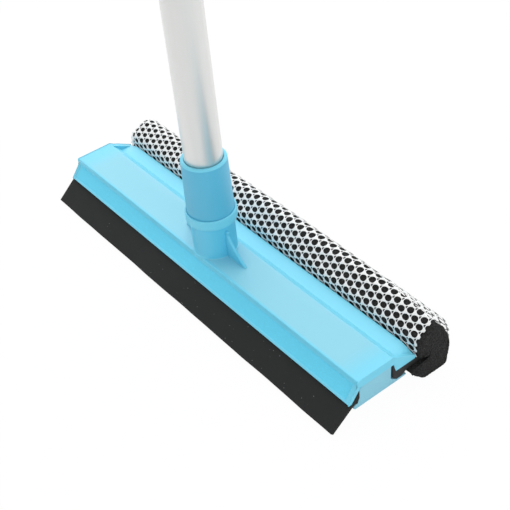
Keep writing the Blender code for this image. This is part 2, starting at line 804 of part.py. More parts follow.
def make_ferrule():
    """The sleeve that holds the inner tube, with a hollow stem that screws into the socket."""
    bore = INNER_RADIUS + CLEARANCE
    stem_bore = STEM_RADIUS - STEM_WALL
    ferrule = new_object("pole_ferrule", turned([
        (stem_bore, -STEM_LENGTH),
        (STEM_RADIUS, -STEM_LENGTH),
        (STEM_RADIUS, 0.0),
        (FERRULE_FOOT_RADIUS, 0.0),
        (FERRULE_TOP_RADIUS, FERRULE_HEIGHT - RIM_ROUND),
        (FERRULE_TOP_RADIUS - RIM_ROUND * RIM_BEND_SHARE, FERRULE_HEIGHT - RIM_ROUND * RIM_BEND_SHARE),
        (FERRULE_TOP_RADIUS - RIM_ROUND, FERRULE_HEIGHT),
        (bore, FERRULE_HEIGHT),
        (bore, TUBE_SEAT),
        (stem_bore, TUBE_SEAT),
    ]), materials["blue plastic"], FERRULE_FOOT)
    boolean(ferrule, rivet_cut("ferrule_rivet_cut"), "DIFFERENCE")
    washer = turned([
        (STEM_RADIUS + CLEARANCE, 0.0),
        (FERRULE_FOOT_RADIUS - CLEARANCE, 0.0),
        (FERRULE_FOOT_RADIUS - CLEARANCE, WASHER_THICKNESS),
        (STEM_RADIUS + CLEARANCE, WASHER_THICKNESS),
    ])
    height = BOSS_HEIGHT - COLLAR_RECESS + CLEARANCE
    new_object("seal_washer", washer, materials["black rubber"], height)


def rivet_turn(bm, height):
    """Lays a piece modelled along Z out from the pole's axis, at the rivet's bearing."""
    bearing = math.radians(RIVET_BEARING)
    for vert in bm.verts:
        x, y, z = vert.co
        vert.co = (
            z * math.cos(bearing) - x * math.sin(bearing),
            z * math.sin(bearing) + x * math.cos(bearing),
            y + height,
        )
    bmesh.ops.recalc_face_normals(bm, faces=bm.faces)
    return bm


def rivet_cut(name):
    hole = RIVET_RADIUS + CLEARANCE
    far = FERRULE_FOOT_RADIUS * CUT_REACH_SHARE
    cut = turned([(0.0, INNER_RADIUS / 2), (hole, INNER_RADIUS / 2), (hole, far), (0.0, far)], SMALL_ROUND)
    return helper(name, rivet_turn(cut, RIVET_HEIGHT), FERRULE_FOOT)


def make_rivet():
    """A blind rivet through the sleeve and the tube wall."""
    share = RIVET_HEIGHT / FERRULE_HEIGHT
    skin = FERRULE_FOOT_RADIUS + (FERRULE_TOP_RADIUS - FERRULE_FOOT_RADIUS) * share + CLEARANCE
    inner = INNER_RADIUS - INNER_WALL - CLEARANCE
    body = turned([
        (0.0, inner - RIVET_RADIUS),
        (RIVET_RADIUS, inner - RIVET_RADIUS),
        (RIVET_RADIUS, skin),
        (RIVET_HEAD, skin),
        (RIVET_HEAD * 0.75, skin + RIVET_HEAD_HEIGHT * 0.7),
        (0.0, skin + RIVET_HEAD_HEIGHT),
    ], SMALL_ROUND)
    new_object("ferrule_rivet", rivet_turn(body, RIVET_HEIGHT), materials["steel"], FERRULE_FOOT)


def tube(name, radius, wall, length, height):
    body = turned([(radius - wall, 0.0), (radius, 0.0), (radius, length), (radius - wall, length)])
    return new_object(name, body, materials["aluminium"], height)


def make_pole():
    inner = tube("inner_tube", INNER_RADIUS, INNER_WALL, INNER_LENGTH, INNER_START)
    boolean(inner, rivet_cut("tube_rivet_cut"), "DIFFERENCE")
    tube("outer_tube", OUTER_RADIUS, OUTER_WALL, OUTER_LENGTH, OUTER_START)
    bore = OUTER_RADIUS - OUTER_WALL
    skirt = INNER_RADIUS - INNER_WALL - CLEARANCE
    flange = bore - SLIDE_FIT * 1.5
    plug = turned([
        (0.0, -PLUG_DEPTH),
        (skirt * PLUG_TAPER_SHARE, -PLUG_DEPTH),
        (skirt, -PLUG_DEPTH * PLUG_SKIRT_SHARE),
        (skirt, CLEARANCE),
        (flange, CLEARANCE),
        (flange, PLUG_FLANGE),
        (0.0, PLUG_FLANGE),
    ])
    new_object("tube_plug", plug, materials["grey plastic"], INNER_TOP)
    bush = turned([
        (INNER_RADIUS + SLIDE_FIT, 0.0),
        (bore - SLIDE_FIT, 0.0),
        (bore - SLIDE_FIT, BUSH_LENGTH),
        (INNER_RADIUS + SLIDE_FIT, BUSH_LENGTH),
    ])
    new_object("guide_bush", bush, materials["grey plastic"], INNER_TOP - BUSH_LENGTH)
    stop = turned([
        (INNER_RADIUS + CLEARANCE, 0.0),
        (bore - SLIDE_FIT * 1.5, 0.0),
        (bore - SLIDE_FIT * 1.5, STOP_LENGTH),
        (INNER_RADIUS + CLEARANCE, STOP_LENGTH),
    ])
    stop_height = INNER_TOP - BUSH_LENGTH - CLEARANCE - STOP_LENGTH
    new_object("stop_ring", stop, materials["aluminium"], stop_height)


def make_lock():
    """The twist lock: a threaded body on the outer tube, a split collet, and the nut that closes it."""
    bore = INNER_RADIUS + SLIDE_FIT
    seat = OUTER_START - CLEARANCE
    neck_foot = -LOCK_NECK
    body = turned([
        (bore, neck_foot),
        (NECK_RADIUS, neck_foot),
        (NECK_RADIUS, 0.0),
        (LOCK_BODY_RADIUS, CLEARANCE),
        (LOCK_BODY_RADIUS, LOCK_SLEEVE - CLEARANCE * 5),
        (LOCK_BODY_RADIUS - CLEARANCE * 4, LOCK_SLEEVE),
        (OUTER_RADIUS + CLEARANCE, LOCK_SLEEVE),
        (OUTER_RADIUS + CLEARANCE, 0.0),
        (bore, 0.0),
    ])
    new_object("lock_body", body, materials["grey plastic"], seat)
    top = seat - LOCK_NECK - CLEARANCE
    collet = new_object("lock_collet", turned([
        (bore, -COLLET_LENGTH),
        (COLLET_FOOT_RADIUS, -COLLET_LENGTH),
        (NECK_RADIUS - CLEARANCE * 2, -COLLET_LENGTH / 4),
        (NECK_RADIUS - CLEARANCE * 2, 0.0),
        (bore, 0.0),
    ]), materials["white plastic"], top)
    slit = box((COLLET_SLIT, NECK_RADIUS * 2, COLLET_LENGTH * 3), (0.0, NECK_RADIUS, 0.0))
    boolean(collet, helper("collet_slit", slit, top), "DIFFERENCE")
    length = LOCK_NECK + COLLET_LENGTH + NUT_TRAVEL + NUT_WALL
    head = length - NUT_TRAVEL
    nut_bore = NECK_RADIUS + CLEARANCE
    foot_bore = COLLET_FOOT_RADIUS + CLEARANCE

    def fluted(radius, angle):
        if radius < LOCK_BODY_RADIUS:
            return radius
        return radius - NUT_FLUTE * (0.5 - 0.5 * math.cos(NUT_FLUTES * angle))

    nut = turned([
        (bore, 0.0),
        (NUT_RADIUS - NUT_WALL * NUT_EASE_SHARE, 0.0),
        (NUT_RADIUS, NUT_WALL * NUT_RISE_SHARE),
        (NUT_RADIUS, head - NUT_WALL * NUT_EASE_SHARE),
        (NUT_RADIUS - NUT_WALL * NUT_CROWN_SHARE, head),
        (nut_bore, head),
        (nut_bore, NUT_WALL + COLLET_LENGTH * 0.75),
        (foot_bore, NUT_WALL - CLEARANCE),
        (bore, NUT_WALL - CLEARANCE),
    ], NUT_FLUTES * 4, fluted)
    new_object("lock_nut", nut, materials["blue plastic"], top - COLLET_LENGTH - NUT_WALL)


def make_grip():
    """The handle sleeve, drawn in a little at its middle and ribbed for the fingers."""
    bore = OUTER_RADIUS + CLEARANCE
    profile = [(bore, 0.0), (GRIP_RADIUS - GRIP_ROUND, 0.0), (GRIP_RADIUS, GRIP_ROUND)]
    start = GRIP_ROUND * 2
    step = (GRIP_LENGTH - 2 * start) / GRIP_RIBS

    def waist(z):
        return GRIP_RADIUS - GRIP_WAIST * math.sin(math.pi * z / GRIP_LENGTH)

    for k in range(GRIP_RIBS):
        z = start + k * step
        profile += [
            (waist(z), z),
            (waist(z) - GRIP_RIB_DEPTH, z + step * 0.15),
            (waist(z) - GRIP_RIB_DEPTH, z + step * GRIP_GROOVE_SHARE),
            (waist(z), z + step * 0.45),
        ]
    profile += [
        (GRIP_RADIUS, GRIP_LENGTH - GRIP_ROUND),
        (GRIP_RADIUS - GRIP_ROUND / 2, GRIP_LENGTH),
        (bore, GRIP_LENGTH),
    ]
    new_object("handle_grip", turned(profile), materials["blue plastic"], OUTER_TOP - GRIP_LENGTH)


def make_cap():
    """The end cap: a plug in the tube's end, a round shoulder and a flat tab with a hanging hole."""
    skirt = OUTER_RADIUS - OUTER_WALL - CLEARANCE
    wall = OUTER_WALL * 1.6
    shoulder = GRIP_RADIUS - GRIP_ROUND / 2
    cap = new_object("end_cap", turned([
        (0.0, CLEARANCE),
        (skirt - wall, CLEARANCE),
        (skirt - wall, -CAP_SKIRT),
        (skirt, -CAP_SKIRT),
        (skirt, CLEARANCE),
        (shoulder, CLEARANCE),
        *[(shoulder * wide, CAP_HEIGHT * high) for wide, high in CAP_LINE],
        (0.0, CAP_HEIGHT),
    ]), materials["blue plastic"], OUTER_TOP)
    half = TAB_WIDTH / 2
    straight = CAP_HEIGHT + TAB_HEIGHT - half
    outline = [(-half, CAP_HEIGHT / 2), (half, CAP_HEIGHT / 2)]
    for k in range(TAB_ROUND + 1):
        angle = math.pi * k / TAB_ROUND
        outline.append((half * math.cos(angle), straight + half * math.sin(angle)))
    tab = prism([(y, z) for y, z in outline], -TAB_THICKNESS / 2, TAB_THICKNESS / 2)
    boolean(cap, helper("tab_shape", tab, OUTER_TOP), "UNION")
    ring = []
    for k in range(HOLE_ROUND):
        angle = 2 * math.pi * k / HOLE_ROUND
        ring.append((HANG_HOLE * math.cos(angle), straight + HANG_HOLE * math.sin(angle)))
    hole = prism(ring, -TAB_THICKNESS, TAB_THICKNESS)
    boolean(cap, helper("hole_cut", hole, OUTER_TOP), "DIFFERENCE")


clear_scene()
materials = {
    "helper": material("helper", (0.5, 0.5, 0.5), 0.5),
    "blue plastic": material("blue plastic", (0.16, 0.60, 0.80), 0.38),
    "pale plastic": material("pale plastic", (0.30, 0.62, 0.74), 0.42),
    "black rubber": material("black rubber", (0.025, 0.026, 0.027), 0.62),
    "black foam": material("black foam", (0.03, 0.03, 0.03), 0.95),
    "white net": material("white net", (0.82, 0.83, 0.82), 0.75),
    "aluminium": material("aluminium", (0.78, 0.79, 0.80), 0.28, 1.0),
    "steel": material("steel", (0.60, 0.60, 0.61), 0.30, 1.0),
    "grey plastic": material("grey plastic", (0.16, 0.17, 0.18), 0.5),
    "white plastic": material("white plastic", (0.80, 0.80, 0.78), 0.45),
}
make_plate()
make_channel()
make_screws()
make_blade()
make_sponge()
make_net()
make_ferrule()
make_rivet()
make_pole()
make_lock()
make_grip()
make_cap()
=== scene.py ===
import math

import bmesh
import bpy
import numpy as np
from mathutils import Matrix, Vector, noise
from mathutils.kdtree import KDTree


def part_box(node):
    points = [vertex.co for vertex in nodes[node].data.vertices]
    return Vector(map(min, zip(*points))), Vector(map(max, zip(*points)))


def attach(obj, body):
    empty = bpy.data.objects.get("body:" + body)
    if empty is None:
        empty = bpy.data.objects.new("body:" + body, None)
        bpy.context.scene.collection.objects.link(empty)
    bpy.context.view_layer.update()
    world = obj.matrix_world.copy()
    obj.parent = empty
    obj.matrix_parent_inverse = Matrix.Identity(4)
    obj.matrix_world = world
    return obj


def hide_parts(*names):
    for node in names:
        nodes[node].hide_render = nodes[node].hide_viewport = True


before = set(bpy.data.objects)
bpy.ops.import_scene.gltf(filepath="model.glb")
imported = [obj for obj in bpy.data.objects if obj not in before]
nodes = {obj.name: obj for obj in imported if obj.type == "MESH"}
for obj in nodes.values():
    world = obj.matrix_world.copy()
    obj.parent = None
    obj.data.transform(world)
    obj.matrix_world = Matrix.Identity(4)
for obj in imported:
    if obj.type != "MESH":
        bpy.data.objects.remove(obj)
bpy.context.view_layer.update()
mm = 0.001

# Sizes are in millimetres, places in millimetres from the pole's axis and the plate's flat top
bossHeight = 26.4
tubeLow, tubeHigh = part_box("inner_tube")
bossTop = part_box("head_plate")[1].z
poleFoot = Vector((
    (tubeLow.x + tubeHigh.x) / 2,
    (tubeLow.y + tubeHigh.y) / 2,
    bossTop - bossHeight * mm,
))


def placed(x, y, z):
    return Vector((poleFoot.x + x * mm, poleFoot.y + y * mm, poleFoot.z + z * mm))


def span(node):
    # lowest and highest millimetre of a CAD node above the plate's top
    low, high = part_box(node)
    return (low.z - poleFoot.z) / mm, (high.z - poleFoot.z) / mm


def smooth(value):
    t = min(max(value, 0.0), 1.0)
    return t * t * (3 - 2 * t)


class NodeMaker:
    # adds nodes to a tree and joins their sockets
    def __init__(self, tree):
        self.tree = tree

    def fill(self, node, inputs):
        for key, value in inputs.items():
            if isinstance(value, bpy.types.NodeSocket):
                self.tree.links.new(value, node.inputs[key])
            else:
                node.inputs[key].default_value = value
        return node

    def add(self, kind, inputs=None, **settings):
        node = self.tree.nodes.new(kind)
        for key, value in settings.items():
            setattr(node, key, value)
        return self.fill(node, inputs or {})

    def math(self, operation, first, *others):
        for other in others or (0.0,):
            sockets = {0: first, 1: other}
            first = self.add("ShaderNodeMath", sockets, operation=operation).outputs[0]
        return first

    def plus(self, *values):
        return self.math("ADD", *values)

    def minus(self, *values):
        return self.math("SUBTRACT", *values)

    def times(self, *values):
        return self.math("MULTIPLY", *values)

    def over(self, *values):
        return self.math("DIVIDE", *values)

    def vector(self, operation, a, b=(0.0, 0.0, 0.0)):
        return self.add("ShaderNodeVectorMath", {0: a, 1: b}, operation=operation).outputs[0]

    def scaled(self, vector, factor):
        sockets = {0: vector, "Scale": factor}
        return self.add("ShaderNodeVectorMath", sockets, operation="SCALE").outputs[0]

    def point(self, x=0.0, y=0.0, z=0.0):
        return self.add("ShaderNodeCombineXYZ", {0: x, 1: y, 2: z}).outputs[0]

    def parts(self, vector):
        return self.add("ShaderNodeSeparateXYZ", {0: vector}).outputs

    def ramp(self, value, fromLow, fromHigh, toLow=0.0, toHigh=1.0):
        sockets = {
            "Value": value,
            "From Min": fromLow,
            "From Max": fromHigh,
            "To Min": toLow,
            "To Max": toHigh,
        }
        made = self.add("ShaderNodeMapRange", sockets, interpolation_type="SMOOTHSTEP")
        return made.outputs["Result"]

    def plateau(self, value, start, full, fading, end):
        # rises from start to full and falls again from fading to end
        return self.times(self.ramp(value, start, full), self.ramp(value, fading, end, 1.0, 0.0))


class Finish(NodeMaker):
    # a material whose patterns lie on Object coordinates
    def __init__(self, name, colour, roughness, metallic=0.0):
        self.material = bpy.data.materials.new(name)
        self.material.use_nodes = True
        self.material.diffuse_color = (*colour, 1.0)
        super().__init__(self.material.node_tree)
        self.where = self.add("ShaderNodeTexCoord").outputs["Object"]
        self.shader = self.fill(self.tree.nodes["Principled BSDF"], {
            "Base Color": (*colour, 1.0),
            "Roughness": roughness,
            "Metallic": metallic,
        })

    def noise(self, scale, detail=2.0, stretch=None):
        where = self.where
        if stretch:
            sockets = {"Vector": where, "Scale": stretch}
            where = self.add("ShaderNodeMapping", sockets).outputs[0]
        sockets = {"Vector": where, "Scale": scale, "Detail": detail}
        return self.add("ShaderNodeTexNoise", sockets).outputs["Fac"]

    def cells(self, scale):
        sockets = {"Vector": self.where, "Scale": scale}
        return self.add("ShaderNodeTexVoronoi", sockets).outputs["Distance"]

    def shared(self, one, two, share):
        return self.plus(self.times(one, share), self.times(two, 1 - share))

    def mixed(self, factor, one, two):
        # a blend of two colours, each of them numbers or a socket
        made = self.add("ShaderNodeMix", {0: factor}, data_type="RGBA")
        for key, colour in ((6, one), (7, two)):
            if not isinstance(colour, bpy.types.NodeSocket):
                colour = (*colour, 1.0)
            self.fill(made, {key: colour})
        return made.outputs[2]

    def uneven(self, factor, roughness, low, high, less, more):
        return self.ramp(factor, low, high, roughness + less, roughness + more)

    def dressed(self, look, height, sockets, strength=1.0):
        # joins colour and other values to the shader, with the look's bump
        bump = self.add("ShaderNodeBump", {
            "Height": height,
            "Strength": look["bump"] * strength,
            "Distance": look["bumpHeight"],
        })
        self.fill(self.shader, {**sockets, "Normal": bump.outputs["Normal"]})
        return self.material


def toned(colour, factor):
    return [min(c * factor, 1.0) for c in colour]


print("finishes")

mouldedLook = {
    "cloud": 24.0,           # slow drift of colour, scale per metre
    "drift": 0.06,
    "grain": 2600.0,         # moulded skin, scale per metre
    "uneven": (0.3, 0.7, -0.07, 0.07),
    "bump": 0.25,
    "bumpHeight": 0.00003,
    "zoneEnd": 16.0,         # soft borders of a zone of painted light or shade, along the head and in height
    "zoneFoot": 0.3,
    "zoneTop": 0.4,
}


def withPaintedLight(made, shade, lightZones):
    # painted light and shade: lighter or darker tones on parts of the moulding where light falls or
    # shade lies, each with soft borders
    x, y, z = made.parts(made.where)
    look = mouldedLook
    for colour, reach, front, rear, low, high, soft in lightZones:
        away = made.math("ABSOLUTE", x)
        ends = made.ramp(away, (reach - look["zoneEnd"]) * mm, reach * mm, 1.0, 0.0)
        depths = (front - soft, front, rear, rear + soft)
        deep = made.plateau(y, *(poleFoot.y + depth * mm for depth in depths))
        heights = (low - look["zoneFoot"], low, high, high + look["zoneTop"])
        tall = made.plateau(z, *(poleFoot.z + height * mm for height in heights))
        shade = made.mixed(made.times(deep, tall, ends), shade, colour)
    return shade


def mouldedPlastic(name, colour, roughness, grain=1.0, lightZones=()):
    look = mouldedLook
    made = Finish(name, colour, roughness)
    slow = made.noise(look["cloud"], 3.0)
    fine = made.noise(look["grain"], 1.0)
    shade = made.mixed(slow, toned(colour, 1 - look["drift"]), toned(colour, 1 + look["drift"]))
    shade = withPaintedLight(made, shade, lightZones) if lightZones else shade
    rough = made.uneven(fine, roughness, *look["uneven"])
    return made.dressed(look, fine, {"Base Color": shade, "Roughness": rough}, grain)


lipLook = {
    "fine": 1500.0,
    "coarse": 520.0,
    "fineShare": 0.65,
    "dark": 0.88,
    "light": 1.10,
    "bump": 0.55,
    "bumpHeight": 0.00012,
}


def lipGrain(name, colour, roughness):
    # the finely grained panel sunk into the front lip
    look = lipLook
    made = Finish(name, colour, roughness)
    both = made.shared(made.noise(look["fine"], 3.0), made.noise(look["coarse"]), look["fineShare"])
    shade = made.mixed(both, toned(colour, look["dark"]), toned(colour, look["light"]))
    return made.dressed(look, both, {"Base Color": shade})


rubberLook = {
    "fine": 1800.0,
    "patches": 60.0,
    "palerBy": (1.7, 0.006),     # factor and addition
    "uneven": (0.3, 0.7, -0.08, 0.06),
    "specular": 0.2,
    "bump": 0.3,
    "bumpHeight": 0.00005,
    "dustScale": 420.0,
    "dustSize": (0.05, 0.11),
    "dustPatches": 95.0,
    "dustFrom": (0.52, 0.62),
    "dustColour": (0.30, 0.31, 0.31),
}


def rubberFinish(name, colour, roughness, dust=0.0):
    look = rubberLook
    made = Finish(name, colour, roughness)
    patches = made.noise(look["patches"], 3.0)
    factor, addition = look["palerBy"]
    shade = made.mixed(patches, colour, [c * factor + addition for c in colour])
    if dust:
        speck = made.ramp(made.cells(look["dustScale"]), *look["dustSize"], 1.0, 0.0)
        thin = made.ramp(made.noise(look["dustPatches"], 1.0), *look["dustFrom"], 0.0, dust)
        shade = made.mixed(made.times(speck, thin), shade, look["dustColour"])
    return made.dressed(look, made.noise(look["fine"]), {
        "Base Color": shade,
        "Roughness": made.uneven(patches, roughness, *look["uneven"]),
        "Specular IOR Level": look["specular"],
    })


foamLook = {
    "roughness": 0.95,
    "cells": 1500.0,
    "walls": (0.25, 0.75),
    "dark": 0.45,
    "light": 1.5,
    "specks": 1150.0,
    "speckFrom": (0.62, 0.74),
    "speckShare": 0.5,
    "speckColour": (0.085, 0.085, 0.082),
    "specular": 0.25,
    "bump": 0.6,
    "bumpHeight": 0.0002,
}


def foamFinish(name, colour):
    look = foamLook
    made = Finish(name, colour, look["roughness"])
    walls = made.ramp(made.cells(look["cells"]), *look["walls"])
    speck = made.ramp(made.noise(look["specks"]), *look["speckFrom"])
    # darker in the middle of each cell, lighter on its walls: painted shade in the open pores
    shade = made.mixed(walls, toned(colour, look["dark"]), toned(colour, look["light"]))
    shade = made.mixed(made.times(speck, look["speckShare"]), shade, look["speckColour"])
    sockets = {"Base Color": shade, "Specular IOR Level": look["specular"]}
    return made.dressed(look, walls, sockets)


yarnLook = {
    "roughness": 0.72,
    "fibre": 5200.0,
    "fibreStretch": (1.0, 0.45, 0.45),
    "patches": 220.0,
    "fibreShare": 0.7,
    "dark": 0.86,
    "sheen": 0.25,
    "sheenRoughness": 0.5,
    "bump": 0.6,
    "bumpHeight": 0.00012,
}


def yarnFinish(name, colour):
    look = yarnLook
    made = Finish(name, colour, look["roughness"])
    fibre = made.noise(look["fibre"], 2.0, look["fibreStretch"])
    both = made.shared(fibre, made.noise(look["patches"]), look["fibreShare"])
    return made.dressed(look, both, {
        "Base Color": made.mixed(both, toned(colour, look["dark"]), colour),
        "Sheen Weight": look["sheen"],
        "Sheen Roughness": look["sheenRoughness"],
    })


drawnLook = {
    "lines": 900.0,          # fine lines along the tube
    "lineStretch": (1.0, 1.0, 0.010),
    "bands": 190.0,
    "bandStretch": (1.0, 1.0, 0.02),
    "uneven": (0.25, 0.75, -0.03, 0.04),
    "bump": 0.10,
    "bumpHeight": 0.00002,
}


def drawnMetal(name, colour, roughness, streak=0.10):
    look = drawnLook
    made = Finish(name, colour, roughness, 1.0)
    lines = made.noise(look["lines"], 2.0, look["lineStretch"])
    bands = made.noise(look["bands"], 2.0, look["bandStretch"])
    shade = made.mixed(bands, toned(colour, 1 - streak), colour)
    rough = made.uneven(lines, roughness, *look["uneven"])
    return made.dressed(look, lines, {"Base Color": shade, "Roughness": rough})


platedLook = {
    "patches": 900.0,
    "dark": 0.8,
    "uneven": (0.3, 0.7, -0.05, 0.15),
    "bump": 0.15,
    "bumpHeight": 0.00004,
}


def platedMetal(name, colour, roughness):
    look = platedLook
    made = Finish(name, colour, roughness, 1.0)
    patches = made.noise(look["patches"], 3.0)
    shade = made.mixed(patches, toned(colour, look["dark"]), colour)
    rough = made.uneven(patches, roughness, *look["uneven"])
    return made.dressed(look, patches, {"Base Color": shade, "Roughness": rough})


# painted light and shade on the plate's moulding
platePaintedLight = (
    # colour, then in mm: reach along the head, front, rear, lowest, highest, softness
    ((0.218, 0.58, 0.720), 122.0, -9.5, 9.5, -0.7, 0.0, 2.0),       # paler flat top: painted sheen, the whitish haze of light on it
    ((0.205, 0.69, 0.88), 130.0, 12.0, 26.0, -9.2, 0.0, 0.6),       # slope and shelf behind it: painted light, lighter where the light from behind falls
    ((0.110, 0.55, 0.77), 60.0, -20.0, 20.0, 1.0, 20.0, 1.0),       # socket: painted shade, darker on the boss's upright sides
)
# painted highlight on the sleeve
sleevePaintedLight = (
    ((0.165, 0.63, 0.82), 60.0, -20.0, 20.0, 57.0, 60.0, 1.0),      # rim: painted highlight, a lighter band where the rounded top edge catches the light
)
bluePlastic = mouldedPlastic("bluePlastic", (0.155, 0.61, 0.80), 0.40)
platePlastic = mouldedPlastic("platePlastic", (0.155, 0.61, 0.80), 0.40, lightZones=platePaintedLight)
lipPanel = lipGrain("lipPanelGrain", (0.115, 0.64, 0.87), 0.5)
# the sleeve's plastic is a darker copy of the blue plastic: painted shade on its upright sides
shadedSleevePlastic = mouldedPlastic("shadedSleevePlastic", (0.09, 0.455, 0.665), 0.45, 1.3, sleevePaintedLight)
palePlastic = mouldedPlastic("palePlastic", (0.24, 0.57, 0.71), 0.42)
blackRubber = rubberFinish("blackRubber", (0.010, 0.0108, 0.0106), 0.74, 0.7)
carrierRubber = rubberFinish("carrierRubber", (0.015, 0.0155, 0.016), 0.55)
blackFoam = foamFinish("blackFoam", (0.018, 0.018, 0.0175))
whiteYarn = yarnFinish("whiteYarn", (0.86, 0.87, 0.87))
satinAluminium = drawnMetal("satinAluminium", (0.69, 0.69, 0.675), 0.40, 0.05)
outerAluminium = drawnMetal("outerAluminium", (0.80, 0.81, 0.82), 0.26)
zincSteel = platedMetal("zincSteel", (0.62, 0.62, 0.63), 0.30)
greyPlastic = mouldedPlastic("greyPlastic", (0.060, 0.066, 0.072), 0.48)
whitePlastic = mouldedPlastic("whitePlastic", (0.74, 0.74, 0.72), 0.40)


def linked(name, data):
    obj = bpy.data.objects.new(name, data)
    bpy.context.scene.collection.objects.link(obj)
    return obj


def removed(*objects):
    for obj in objects:
        bpy.data.objects.remove(obj, do_unlink=True)


def finished(obj, body, slotName, *replacedNodes):
    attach(obj, body)
    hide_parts(*replacedNodes)
    return obj


def pieceFromMesh(name, mesh, finishes, sharpAngle=38):
    for finish in finishes:
        mesh.materials.append(finish)
    mesh.shade_smooth()
    mesh.set_sharp_from_angle(angle=math.radians(sharpAngle))
    return linked(name, mesh)


def meshOf(bm, name):
    mesh = bpy.data.meshes.new(name)
    bm.to_mesh(mesh)
    bm.free()
    return mesh


def meshFrom(name, points, faces):
    # millimetre points round the pole become a closed mesh in metres, facing out
    mesh = bpy.data.meshes.new(name)
    where = np.asarray(points, float) * mm + np.array(poleFoot)
    mesh.from_pydata([tuple(p) for p in where], [], faces)
    bm = bmesh.new()
    bm.from_mesh(mesh)
    bmesh.ops.recalc_face_normals(bm, faces=bm.faces)
    bm.to_mesh(mesh)
    bm.free()
    return mesh


def evaluatedMesh(obj):
    # the modifiers' result as a plain mesh without materials
    bpy.context.view_layer.update()
    graph = bpy.context.evaluated_depsgraph_get()
    mesh = bpy.data.meshes.new_from_object(obj.evaluated_get(graph), depsgraph=graph)
    mesh.materials.clear()
    return mesh


def combined(body, tools, operation, crossesItself=False):
    # a body with other objects joined to it or cut out of it
    for tool in tools:
        step = body.modifiers.new("combine", "BOOLEAN")
        step.operation = operation
        step.solver = "EXACT"
        step.use_self = crossesItself
        step.object = tool
    mesh = evaluatedMesh(body)
    removed(body, *tools)
    return mesh


def rounded(corners, steps=4, closed=True):
    # corners are (a, b, radius); each one becomes a short arc
    points = []
    count = len(corners)
    for i, (a, b, radius) in enumerate(corners):
        here = Vector((a, b))
        atEnd = not closed and i in (0, count - 1)
        if radius == 0 or atEnd:
            points.append((a, b))
            continue
        back = Vector(corners[i - 1][:2]) - here
        on = Vector(corners[(i + 1) % count][:2]) - here
        half = back.angle(on) / 2
        reach = min(radius / math.tan(half), back.length * 0.49, on.length * 0.49)
        radius = reach * math.tan(half)
        back.normalize()
        on.normalize()
        centre = here + (back + on).normalized() * radius / math.sin(half)
        first = here + back * reach - centre
        last = here + on * reach - centre
        sweep = math.atan2(first.x * last.y - first.y * last.x, first.dot(last))
        for k in range(steps + 1):
            turn = Matrix.Rotation(sweep * k / steps, 2)
            point = centre + turn @ first
            points.append((point.x, point.y))
    return points


def divided(points, longest, closed=True):
    # adds points so that no edge of an outline is longer than this
    result = []
    count = len(points)
    for i in range(count if closed else count - 1):
        a = Vector(points[i])
        b = Vector(points[(i + 1) % count])
        parts = max(1, math.ceil((b - a).length / longest))
        for k in range(parts):
            point = a.lerp(b, k / parts)
            result.append((point.x, point.y))
    if not closed:
        result.append(tuple(points[-1]))
    return result


def outwardNormals(points, closed=True):
    # unit normals of an outline in its own plane, to the left of its direction
    line = np.asarray(points, float)
    if closed:
        along = np.roll(line, -1, axis=0) - np.roll(line, 1, axis=0)
    else:
        along = np.gradient(line, axis=0)
    along /= np.maximum(np.linalg.norm(along, axis=1), 1e-9)[:, None]
    return np.stack([-along[:, 1], along[:, 0]], axis=1)


def lofted(rings):
    # closed rings joined one to the next, with flat ends
    count = len(rings[0])
    faces = []
    for k in range(len(rings) - 1):
        start, after = k * count, (k + 1) * count
        for i in range(count):
            j = (i + 1) % count
            faces.append((start + i, start + j, after + j, after + i))
    last = (len(rings) - 1) * count
    faces.append(tuple(reversed(range(count))))
    faces.append(tuple(range(last, last + count)))
    return np.concatenate(rings), faces


def turnedParts(profile, count=96, shape=None):
    # a closed (radius, height) profile turned about the pole
    points = []
    starts = []
    for radius, height in profile:
        if radius < 1e-6:
            starts.append([len(points)] * count)
            points.append((0.0, 0.0, height))
            continue
        starts.append(list(range(len(points), len(points) + count)))
        for k in range(count):
            angle = 2 * math.pi * k / count
            r = shape(radius, angle, height) if shape else radius
            points.append((r * math.cos(angle), r * math.sin(angle), height))
    faces = []
    for i in range(len(starts)):
        one = starts[i]
        two = starts[(i + 1) % len(starts)]
        for k in range(count):
            n = (k + 1) % count
            corners = []
            for index in (one[k], one[n], two[n], two[k]):
                if index not in corners:
                    corners.append(index)
            if len(corners) > 2:
                faces.append(tuple(corners))
    return points, faces


def roundPiece(name, node, body, slotName, finish, corners, count=96, shape=None, longest=0):
    profile = rounded(corners)
    if longest:
        profile = divided(profile, longest)
    points, faces = turnedParts(profile, count, shape)
    obj = pieceFromMesh(name, meshFrom(name, points, faces), [finish])
    return finished(obj, body, slotName, node)


copySettings = {
    "doubles": 1e-6,         # metres
    "flatAngle": 1.0,
    "edgeAngle": 28,
}


def softenedCopy(name, node, body, slotName, finish, width):
    # a CAD node's merged copy with its edges eased
    bm = bmesh.new()
    bm.from_mesh(nodes[node].data)
    bmesh.ops.remove_doubles(bm, verts=bm.verts, dist=copySettings["doubles"])
    flat = math.radians(copySettings["flatAngle"])
    bmesh.ops.dissolve_limit(bm, angle_limit=flat, verts=bm.verts, edges=bm.edges)
    limit = math.radians(copySettings["edgeAngle"])
    edges = [e for e in bm.edges if e.is_manifold and e.calc_face_angle(0) > limit]
    eased(bm, edges, width * mm)
    return finished(pieceFromMesh(name, meshOf(bm, name), [finish]), body, slotName, node)


def eased(bm, edges, width):
    bmesh.ops.bevel(
        bm, geom=edges, offset=width, segments=3, profile=0.5,
        affect="EDGES", clamp_overlap=True,
    )


print("head plate")

